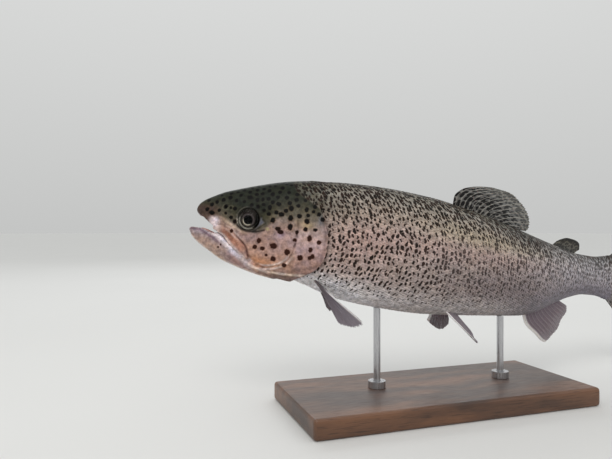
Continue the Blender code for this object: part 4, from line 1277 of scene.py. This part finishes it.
def shoulder_grow(place, up):
    """How far the skin lies inside the trunk's outline: the scales' depth, and more behind the gill covers.

    On the nape it starts level with the head, because the scales there begin small.
    """
    behind = place - GILL(up)
    on_nape = ramp(up, *NAPE_HEIGHTS)
    recess = SHOULDER_RECESS * ramp(behind, 0.020, 0.003) * (1 - on_nape)
    depth = COAT_DEPTH * (1 - on_nape * ramp(behind, 0.035, 0.0))
    return -depth - recess


def trunk_rings(start, end, rows, columns, deeper=0.0):
    angle = turn_steps(columns)
    rings = []
    for place in np.linspace(start, end, rows):
        places = np.full(columns, place)
        _, up = TRUNK.section(places, angle)
        side, up = TRUNK.section(places, angle, shoulder_grow(places, up) - deeper)
        rings.append(np.stack([places, side, up], axis=1))
    return ring_mesh(rings)


def relief(points, normals):
    """How far the details of the head stand out from its plain shape, in millimetres."""
    place, side, up = points.T
    flat = points[:, [0, 2]]
    out, facing = np.abs(side), np.abs(normals[:, 1])
    away = from_eye(place, up)
    cheek = 0.30 * bell(away, 1.08, 0.09) - 0.15 * bell(away, 1.35, 0.13)  # the rim round the eye
    cheek -= 0.45 * oval(place, up, (0.1165, 0.0190), (0.0055, 0.007))  # the eye's rear corner
    cheek += 0.35 * bell(np.hypot(place - 0.205, (up + 0.005) / 1.8), 0, 0.016)  # the gill cover
    for line, rise, beside, width in SKIN_FOLDS:
        cheek += rise * bell(distance_to(flat, line)[0], beside, width)
    ahead = ramp(place - Line(PREOPERCLE_BY_HEIGHT)(up), 0.001, -0.004)
    cheek += 0.45 * bell(distance_to(flat, PREOPERCLE)[0], 0.0045, 0.0030) * ahead
    height = cheek * ramp(facing, 0.2, 0.5) * ramp(out, 0.006, 0.012)

    height -= 3.4 * ramp(away, 1.00, 0.88) * (facing > 0.2)  # the eye's socket
    for distance in from_nostrils(place, up):
        nostril = 0.35 * bell(distance, 1.35, 0.35) - 1.3 * bell(distance, 0, 0.75)
        height += ramp(out, 0.004, 0.008) * nostril

    in_front = ramp(place - GILL(up), 0.0, -0.004)
    throat = ramp(up, -0.064, -0.072) * ramp(place, 0.100, 0.125) * ramp(out, 0.004, 0.010) * in_front
    folds = (SHEET.flank(place) * 1.62 - np.abs(SHEET.arc_at(points))) / 0.0019
    height += 0.30 * throat * np.cos(2 * math.pi * folds)
    slit = (normals[:, 2] < -0.3) * (up < JAW_BOTTOM(place) + 0.01) * ramp(place, 0.165, 0.150)
    height -= 0.8 * slit * bell(side, 0, 0.0022)
    below = JAW_TOP(place) - up
    rim = (below > -0.002) * (facing > 0.2) * ramp(place, 0.045, 0.028) * ramp(place, -0.0175, -0.0100)
    height += rim * (0.40 * bell(below, 0.0035, 0.0035) - 0.35 * bell(below, 0.0105, 0.0018))
    return height * in_front


def make_skin():
    """One skin from the lips to the tail. Its head is fine, and its trunk lies under the scales."""
    shapes = [head_rings(), jaw_rings(), trunk_rings(start=0.155, end=0.310, rows=60, columns=96)]
    shapes += [maxilla_rings(sign) for sign in SIDES.values()]
    points, faces = join(shapes)
    head = evaluated(
        mesh_of("head_zone", np.array(points) * STANDARD_LENGTH, faces),
        ("REMESH", {"mode": "VOXEL", "voxel_size": HEAD_VOXEL_METRES, "use_smooth_shade": True}),
        ("SMOOTH", {"factor": 0.5, "iterations": 3}),
    )
    with editing(head) as edit:
        bmesh.ops.bisect_plane(
            edit, geom=edit.verts[:] + edit.edges[:] + edit.faces[:], clear_outer=True,
            plane_co=(HEAD_ZONE_END * STANDARD_LENGTH, 0, 0), plane_no=(1, 0, 0),
        )
    straight, normals = points_of(head) / STANDARD_LENGTH, vectors_of(head, "normal")
    straight = straight + normals * (relief(straight, normals) * MILLIMETRE)[:, None]
    straight[:, 0] += 0.0021 * ramp(straight[:, 0], -0.009, -0.0192)  # the tip of the jaw, blunted
    move_points(head, straight)

    rear = trunk_rings(HEAD_ZONE_END - 0.01, SKIN_END, rows=180, columns=90, deeper=0.1 * MILLIMETRE)
    skin = bpy.data.meshes.new("trout_skin")
    with editing(skin) as edit:
        edit.from_mesh(head)
        edit.from_mesh(mesh_of("trunk_zone", *rear))
    paint_fish(skin, points_of(skin), vectors_of(skin, "normal"))
    bend(skin)
    piece(
        "trout_skin", skin, fish_material("trout_skin_paint", scaled=False),
        ("head", "lower_jaw", "maxilla_left", "maxilla_right", "gill_cover_left", "gill_cover_right",
         "trunk", "tail_stem"),
    )


# ---------------------------------------------------------------- the scales


def scale_template():
    """One scale: where its points lie along and across it, which of them are on its lip, and its faces."""
    points = []
    for place, width in SCALE_ROWS:
        rounded = 0.02 if place > 0.9 else 0.0
        points += [(place, -width, 0), (place + rounded, 0.0, 0), (place, width, 0)]
    tip = len(points)
    points.append((SCALE_TIP, 0.0, 0))
    faces = []
    for row in range(len(SCALE_ROWS) - 1):
        for a in (row * 3, row * 3 + 1):
            faces += [(a, a + 3, a + 4), (a, a + 4, a + 1)]
    faces += [(tip - 3, tip, tip - 2), (tip - 2, tip, tip - 1)]
    rim = [3, 6, 9, tip, 11, 8, 5]
    lip = len(points)
    points += [(points[k][0], points[k][1], 1) for k in rim]
    for k, (a, b) in enumerate(zip(rim, rim[1:])):
        faces += [(a, lip + k, lip + k + 1), (a, lip + k + 1, b)]
    return *np.array(points, float).T, np.array(faces)


def scale_roots():
    """The roots of the scales of one side: place along the body, metres round it, and width in metres."""
    roots = []
    place, row = SCALES_START, 0
    widest = float(TRUNK_SHEET.half_girth(0.42))
    while place < SCALES_END:
        girth = float(TRUNK_SHEET.half_girth(place))
        width = SCALE_SPACE_METRES * (0.55 + 0.45 * girth / widest)
        lateral = float(TRUNK_SHEET.flank(place)) * LATERAL_LINE
        offset = 0.5 * (row % 2)
        first = math.ceil(-lateral / width - offset)
        last = math.floor((girth - lateral) / width - offset)
        roots += [(place, lateral + (k + offset) * width, width) for k in range(first, last + 1)]
        place += SCALE_PITCH * width / STANDARD_LENGTH
        row += 1
    return np.array(roots).T


def scale_frames(place, arc, sign):
    """The points where scales are rooted, and the directions along them, across them and out of the skin."""
    at, flank, girth = TRUNK_SHEET.point_at, TRUNK_SHEET.flank, TRUNK_SHEET.half_girth
    up = at(place, arc, sign, -COAT_DEPTH)[:, 2]
    grow = shoulder_grow(place, up)
    root = at(place, arc, sign, grow)
    next_place = np.minimum(place + STEP_AHEAD, SKIN_END)
    next_arc = np.clip(arc + flank(next_place) - flank(place), 0.0, girth(next_place))
    flow = unit(at(next_place, next_arc, sign, shoulder_grow(next_place, up)) - root)
    more = np.clip(arc + STEP_ROUND_METRES, 0, girth(place))
    less = np.clip(arc - STEP_ROUND_METRES, 0, None)
    cross = unit(at(place, more, sign, grow) - at(place, less, sign, grow))
    normal = np.cross(cross, flow) * sign
    normal *= np.sign(normal[:, 1:2] * sign + 1e-9)
    inwards = (np.abs(root[:, 1:2]) < 0.004) & ((root[:, 2:] > 0) != (normal[:, 2:] > 0))
    return root, flow, cross, unit(np.where(inwards, -normal, normal))


def triangle_mesh(name, points, faces):
    """A mesh of many triangles, made quickly."""
    mesh = bpy.data.meshes.new(name)
    mesh.vertices.add(len(points))
    mesh.vertices.foreach_set("co", points.astype(np.float32).ravel())
    mesh.loops.add(faces.size)
    mesh.loops.foreach_set("vertex_index", faces.astype(np.int32).ravel())
    mesh.polygons.add(len(faces))
    mesh.polygons.foreach_set("loop_start", np.arange(0, faces.size, 3, dtype=np.int32))
    mesh.update(calc_edges=True)
    return mesh


def make_scales():
    """A coat of scales over each flank, in an upper and a lower piece."""
    material = fish_material("trout_scale_paint", scaled=True)
    along, across, lip, faces = scale_template()
    for side_name, sign in SIDES.items():
        place, arc, width = scale_roots()
        arc = np.clip(arc, 0.0001, TRUNK_SHEET.half_girth(place) - 0.0001)
        root, flow, cross, normal = scale_frames(place, arc, sign)
        behind = place - GILL(root[:, 2])
        shown = (behind > np.where(root[:, 2] > 0.060, -0.003, -0.006)) & (place > SCALES_START)
        place, arc, width, behind = (values[shown] for values in (place, arc, width, behind))
        root, flow, cross, normal = (vectors[shown, None] for vectors in (root, flow, cross, normal))

        count = len(place)
        chance = np.random.default_rng(3 if sign > 0 else 4)
        size = 1 + chance.normal(0, 0.03, count)
        length = width * SCALE_PITCH * SCALE_LENGTH / STANDARD_LENGTH * size
        half = width * SCALE_HALF_WIDTH / STANDARD_LENGTH * size
        lift = SCALE_RISE_METRES * (1 + chance.normal(0, 0.06, count)) * width / SCALE_SPACE_METRES
        lift *= 1 - 0.75 * ramp(root[:, 0, 2], *NAPE_HEIGHTS) * ramp(behind, 0.035, -0.006)
        on_line = np.abs(arc - LATERAL_LINE * TRUNK_SHEET.flank(place)) < 0.25 * width
        dome = SCALE_DOME_METRES * np.where(on_line, 2.6, 1.0)
        rise = along * lift[:, None] + dome[:, None] * (1 - across**2)
        rise = (rise - lip * SCALE_LIP_METRES - SCALE_SUNK_METRES) / STANDARD_LENGTH
        points = root + flow * (along * length[:, None])[..., None]
        points = points + cross * (across * half[:, None])[..., None] + normal * rise[..., None]
        own_chance = chance.random(count)

        upper = arc < TRUNK_SHEET.flank(place)
        for part, chosen in (("upper", upper), ("lower", ~upper)):
            name = f"scales_{part}_{side_name}"
            straight = points[chosen].reshape(-1, 3)
            first_points = np.arange(np.count_nonzero(chosen)) * len(along)
            triangles = (faces + first_points[:, None, None]).reshape(-1, 3)
            triangles = triangles[:, ::-1] if sign > 0 else triangles
            mesh = triangle_mesh(name, straight, triangles)
            on_scale = np.broadcast_arrays(along, across, own_chance[chosen, None])
            paint_fish(mesh, straight, scale=np.stack(on_scale, axis=-1).reshape(-1, 3))
            u = (place[chosen, None] - BAKE_START) / BAKE_LENGTH + BAKE_SCALE[0] * (along - 0.5)
            v = 0.5 + (arc * sign)[chosen, None] / BAKE_GIRTH_METRES + BAKE_SCALE[1] * across
            corners = np.stack([u.ravel(), v.ravel()], axis=1)[triangles.ravel()]
            mesh.uv_layers.new(name="OFBake").data.foreach_set("uv", corners.astype(np.float32).ravel())
            move_points(mesh, TO_WORLD(straight))
            piece(name, mesh, material)


# ---------------------------------------------------------------- the fins


def fin_mesh(name, root, edge, rays, thickness, sign=1, ripple=0.0, branched=True, lead=()):
    """A fin of branching rays in a thin web, fanned from a root line to an outer edge.

    The first ray may run along a curved leading edge; the others curve less and less towards the rear. A fin
    without branches is a fleshy plate. Thickness, at the root and at the edge, and ripple are in millimetres.
    """
    columns, rows = rays * FIN_COLUMNS_PER_RAY + 1, FIN_ROWS
    across = np.linspace(0, 1, columns)
    out = np.linspace(0, 1, rows) ** 0.9
    spread = FIN_BRANCHING * ramp(out, 0.35, 0.95)[:, None]
    offset = np.abs((across * rays) % 1.0 - 0.5)[None, :]
    gap = np.minimum(np.abs(offset - spread), np.abs(offset + spread))
    ray = bell(gap, 0, FIN_RAY_WIDTH) if branched else np.zeros_like(gap)
    notch = FIN_NOTCH if branched else 0.0
    chance = np.random.default_rng(len(name))
    fray = np.interp(across * rays, np.arange(rays + 1), chance.random(rays + 1))
    shares = out[:, None] * (1 - notch * (1 - ray[-1]) - 0.5 * notch * fray)

    root_points, edge_points = Curve(root)(across), Curve(edge)(across)
    length = np.linalg.norm(edge_points - root_points, axis=1)
    middle = root_points + (edge_points - root_points) * shares[..., None]
    if lead:
        straight = root_points[0] + (edge_points[0] - root_points[0]) * shares[..., None]
        less = (1 - across) ** 1.2 * length / length[0]
        middle = middle + (Curve([root[0], *lead, edge[0]])(shares) - straight) * less[:, None]
    middle[..., 1] *= sign
    normal = np.cross(np.gradient(middle, axis=0), np.gradient(middle, axis=1))
    normal /= np.maximum(np.linalg.norm(normal, axis=-1, keepdims=True), 1e-12)
    wave = ripple * MILLIMETRE * np.sin(2 * math.pi * across * 2.3 + 1.0) * shares**2
    middle = middle + normal * wave[..., None]

    whole_thickness = thickness[1] + (thickness[0] - thickness[1]) * (1 - shares) ** 1.5
    thick = 0.95 * whole_thickness
    web = np.maximum(FIN_WEB_SHARE * whole_thickness, FIN_WEB_LEAST) if branched else thick
    rim = ramp(np.minimum(across, 1 - across), 0.0, 0.25 / rays) * ramp(out, 1.0, 0.96)[:, None]
    half = 0.5 * MILLIMETRE * (web + (thick - web) * ray) * (0.35 + 0.65 * rim)
    upper = (middle + normal * half[..., None]).reshape(-1, 3)
    lower = (middle - normal * half[..., None]).reshape(-1, 3)
    count = rows * columns
    faces = grid_faces(rows, columns, closed=False)
    faces += [[k + count for k in reversed(face)] for face in faces]
    border = [*range(columns), *range(2 * columns - 1, count, columns)]
    border += [*range(count - 2, count - columns - 1, -1), *range(count - 2 * columns, 0, -columns)]
    for a, b in zip(border, border[1:] + border[:1]):
        faces.append([b, a, a + count, b + count])
    mesh = mesh_of(name, np.concatenate([upper, lower]), faces)

    width = np.linalg.norm(np.subtract(edge[-1], edge[0])) * STANDARD_LENGTH * 1.2
    sheet = np.broadcast_arrays(across * width, shares * (length * STANDARD_LENGTH), 0.0)
    marks = np.broadcast_arrays(ray, shares, across)
    sheet, marks = (np.tile(np.stack(values, axis=-1).reshape(-1, 3), (2, 1)) for values in (sheet, marks))
    store(mesh, "sheet", sheet)
    store(mesh, "marks", marks)
    return mesh, marks


def make_fin(name, material, slot, steps, *layers, **form):
    """A fin whose colour changes from its root to its edge, under layers.

    A layer's share comes from how far out a point is, and how far to the rear.
    """
    mesh, marks = fin_mesh(name, **form)
    out, rear = marks[:, 1], marks[:, 2]
    paint = layered(shades(out, *steps), *((tint, share(out, rear)) for tint, share in layers))
    store(mesh, "ground", np.column_stack([paint, np.ones(len(paint))]))
    bend(mesh)
    piece(f"{name}_web", mesh, material, (name,))


def make_fins():
    dusky = fin_material("fin_dusky", spot_strength=0.97, see_through=0.35, ray_share=0.48)
    fleshy = fin_material("fin_fleshy", spot_strength=0.8, see_through=0.0)
    pale = fin_material("fin_pale", spot_strength=0.0, see_through=0.3, ray_share=0.18)
    tail = fin_material("fin_tail", spot_strength=0.8, see_through=0.25)
    make_fin(
        "dorsal_fin", dusky, "fin", ((0.0, 96, 93, 90), (0.6, 104, 103, 102), (1.0, 108, 108, 100)),
        ((226, 224, 220), lambda out, rear: 0.85 * ramp(rear, 0.86, 0.97) * ramp(out, 0.55, 0.30)),
        root=DORSAL_ROOT, edge=DORSAL_EDGE, lead=DORSAL_LEAD, rays=15, thickness=(2.2, 0.7), ripple=0.8,
    )
    make_fin(
        "adipose_fin", fleshy, "fin",
        ((0.0, 86, 85, 82), (0.7, 96, 92, 82), (0.88, 50, 47, 41), (1.0, 34, 32, 28)),
        root=ADIPOSE_ROOT, edge=ADIPOSE_EDGE, rays=8, thickness=(3.6, 1.4), branched=False,
    )
    make_fin(
        "anal_fin", pale, "pale_fin", ((0.0, 118, 106, 115), (0.6, 114, 99, 108), (1.0, 128, 118, 125)),
        ((228, 222, 220), lambda out, rear: ramp(rear, 0.09, 0.03)),
        root=ANAL_ROOT, edge=ANAL_EDGE, lead=ANAL_LEAD, rays=12, thickness=(2.2, 0.7), ripple=0.7,
    )
    make_fin(
        "caudal_fin", tail, "fin", ((0.0, 132, 127, 130), (0.5, 116, 108, 104), (1.0, 94, 87, 82)),
        root=CAUDAL_ROOT, edge=CAUDAL_EDGE, rays=22, thickness=(3.7, 0.7), ripple=0.8,
    )
    for side_name, sign in SIDES.items():
        make_fin(
            f"pectoral_fin_{side_name}", pale, "pale_fin",
            ((0.0, 84, 74, 80), (0.4, 100, 91, 102), (1.0, 116, 107, 118)),
            ((236, 232, 234), lambda out, rear: ramp(rear, 0.12, 0.04) * ramp(out, 0.25, 0.5)),
            ((84, 74, 78), lambda out, rear: ramp(rear, 0.12, 0.04) * ramp(out, 0.45, 0.2)),
            root=PECTORAL_ROOT, edge=PECTORAL_EDGE, rays=12, thickness=(2.5, 0.7), ripple=0.6, sign=sign,
        )
        make_fin(
            f"pelvic_fin_{side_name}", pale, "pale_fin", ((0.0, 126, 116, 124), (1.0, 120, 112, 122)),
            ((236, 232, 234), lambda out, rear: ramp(rear, 0.16, 0.06)),
            root=PELVIC_ROOT, edge=PELVIC_EDGE_LEFT if sign < 0 else PELVIC_EDGE_RIGHT,
            rays=9, thickness=(2.4, 0.7), ripple=0.4, sign=sign,
        )


# ---------------------------------------------------------------- eyes and tongue


def turned_mesh(name, sign, profile):
    """A shape turned about the eye's own axis, from pairs of radius and height out of the head."""
    place, up = EYE_CENTRE
    top, _, middle, half_width = HEAD.frame(place)
    share = min(abs((up - middle) / (top - middle)), 1.0)
    squareness = HEAD.upper(place)
    half = half_width * (1 - share**squareness) ** (1 / squareness)
    centre = np.array([place, sign * (half - EYE_SUNK), up])
    outwards = np.array([-math.sin(EYE_TURN), sign * math.cos(EYE_TURN), 0.0])
    rearwards = np.array([math.cos(sign * EYE_TURN), math.sin(sign * EYE_TURN), 0.0])
    angle = turn_steps(64)
    rings, marks = [], []
    for radius, height in profile:
        out = radius / EYE_RADIUS
        droop = EYE_DROOP * EYE_RADIUS * (1 - out**2)
        ring = centre + outwards * height + np.outer(np.cos(angle) * radius, rearwards)
        ring[:, 2] += np.sin(angle) * radius - droop
        rings.append(ring)
        turn = (-np.sin(angle) - 0.6 * np.cos(angle)) / 1.17  # towards the side of the iris painted as lit, below and in front
        marks.append(np.column_stack([np.full(len(angle), out), turn, np.cos(angle) * out]))
    points, faces = ring_mesh(rings)
    mesh = mesh_of(name, points, faces)
    store(mesh, "marks", np.concatenate(marks))
    store(mesh, "sheet", np.array(points) * STANDARD_LENGTH)
    return mesh


def make_eyes():
    """Each eye is a ball with its iris and lens, under a clear cornea."""
    pupil = EYE_PUPIL * EYE_RADIUS

    def dome(radius):
        return EYE_HALF_DEPTH * math.sqrt(1 - (radius / EYE_RADIUS) ** 2)

    ball = [(0.4 * EYE_RADIUS, -0.75 * EYE_HALF_DEPTH), (0.8 * EYE_RADIUS, -0.5 * EYE_HALF_DEPTH)]
    for radius in np.linspace(0.985, 0.0, 30)[:-1] * EYE_RADIUS:
        height = dome(radius) - 0.0006 - 0.0030 * ramp(radius / EYE_RADIUS, 0.97, 0.45)
        if radius < pupil:
            height = dome(pupil) - 0.0036 + 0.0030 * math.sqrt(1 - (radius / pupil) ** 2)
        ball.append((radius, height))
    window = [(0.5 * EYE_RADIUS, -0.2 * EYE_HALF_DEPTH), (0.95 * EYE_RADIUS, -0.1 * EYE_HALF_DEPTH)]
    window += [(radius, dome(radius)) for radius in np.linspace(0.985, 0.02, 26) * EYE_RADIUS]
    forms = (("eyeball", ball, eye_material()), ("cornea", window, cornea_material()))
    for side_name, sign in SIDES.items():
        for form, profile, material in forms:
            mesh = turned_mesh(f"{form}_{side_name}", sign, profile)
            bend(mesh)
            piece(f"{form}_{side_name}", mesh, material, (f"eye_{side_name}",))


def make_tongue():
    """A low tongue with a groove along its middle."""
    angle = turn_steps(32)
    long, broad, high = TONGUE_RADII
    rings = []
    for share in np.linspace(-0.985, 0.985, 36):
        round_off = math.sqrt(1 - share * share)
        side = broad * round_off * np.sin(angle)
        up = high * round_off * np.cos(angle)
        up = up - (np.cos(angle) > 0) * 0.0012 * bell(side, 0, 0.0016) * ramp(share, 0.8, 0.2)
        rings.append(np.stack([
            TONGUE_CENTRE[0] + long * share * math.cos(TONGUE_TILT) + up * math.sin(TONGUE_TILT),
            side,
            TONGUE_CENTRE[2] - long * share * math.sin(TONGUE_TILT) + up * math.cos(TONGUE_TILT),
        ], axis=1))
    points, faces = ring_mesh(rings)
    mesh = mesh_of("tongue_flesh", points, faces)
    store(mesh, "sheet", np.array(points) * STANDARD_LENGTH)
    bend(mesh)
    piece("tongue_flesh", mesh, tongue_material(), ("tongue",))


# ---------------------------------------------------------------- stand, floor, light and camera


def finish_stand():
    wood, steel = wood_material(), steel_material()
    for name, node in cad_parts.items():
        if name.startswith("stand_"):
            node.data.materials.clear()
            node.data.materials.append(wood if name == "stand_base" else steel)


def make_floor():
    mesh = bpy.data.meshes.new("floor")
    with editing(mesh) as edit:
        bmesh.ops.create_circle(edit, cap_ends=True, segments=96, radius=FLOOR_RADIUS)
    g = Graph("pale_floor", Roughness=0.75)
    place = g.node("ShaderNodeTexCoord", {}, "Object")
    soft = g.range(g.noise(place, 3.0, 3.0), 0.3, 0.7)
    g.surface("Base Color", g.mix(soft, (0.695, 0.695, 0.685, 1.0), (0.705, 0.705, 0.695, 1.0)))
    mesh.materials.append(g.material)
    add("floor", mesh)


def soft_light(name, place, size, watts, tint):
    """A rectangle of light that looks at the middle of the fish."""
    light = bpy.data.lights.new(name, "AREA")
    light.shape = "RECTANGLE"
    light.size, light.size_y = size
    light.energy = watts
    light.color = tint
    obj = add(name, light)
    obj.location = place
    obj.rotation_euler = (Vector((0.0, 0.0, AXIS_HEIGHT)) - Vector(place)).to_track_quat("-Z", "Y").to_euler()


def make_lights():
    """A plain bright room, a little brighter overhead, with a warm light in front and a cool one behind."""
    scene = bpy.context.scene
    scene.view_settings.view_transform = "Standard"
    world = bpy.data.worlds.new("studio")
    scene.world = world
    world.use_nodes = True
    nodes, links = world.node_tree.nodes, world.node_tree.links
    ray = nodes.new("ShaderNodeTexCoord")
    split = nodes.new("ShaderNodeSeparateXYZ")
    rise = nodes.new("ShaderNodeMapRange")
    for socket, value in enumerate((0.0, 1.0, HORIZON_LIGHT, ZENITH_LIGHT), 1):
        rise.inputs[socket].default_value = value
    links.new(ray.outputs["Generated"], split.inputs[0])
    links.new(split.outputs[2], rise.inputs[0])
    links.new(rise.outputs[0], nodes["Background"].inputs["Strength"])
    nodes["Background"].inputs["Color"].default_value = (0.99, 1.0, 0.99, 1.0)
    soft_light("key_light", place=(-0.8, -1.3, 1.7), size=(1.2, 1.0), watts=14, tint=(1.0, 0.98, 0.95))
    soft_light("rim_light", place=(0.4, 1.5, 1.3), size=(1.6, 0.8), watts=6, tint=(0.96, 0.98, 1.0))


def make_camera():
    """The photo's camera, which looks level."""
    data = bpy.data.cameras.new("camera")
    data.lens = CAMERA_LENS
    data.sensor_width = 36.0
    data.clip_start = 0.01
    camera = add("camera", data)
    camera.location = CAMERA_PLACE
    camera.rotation_euler = (math.pi / 2, 0.0, CAMERA_AZIMUTH)
    bpy.context.scene.camera = camera


make_camera()
make_skin()
make_scales()
make_fins()
make_eyes()
make_tongue()
finish_stand()
make_floor()
make_lights()
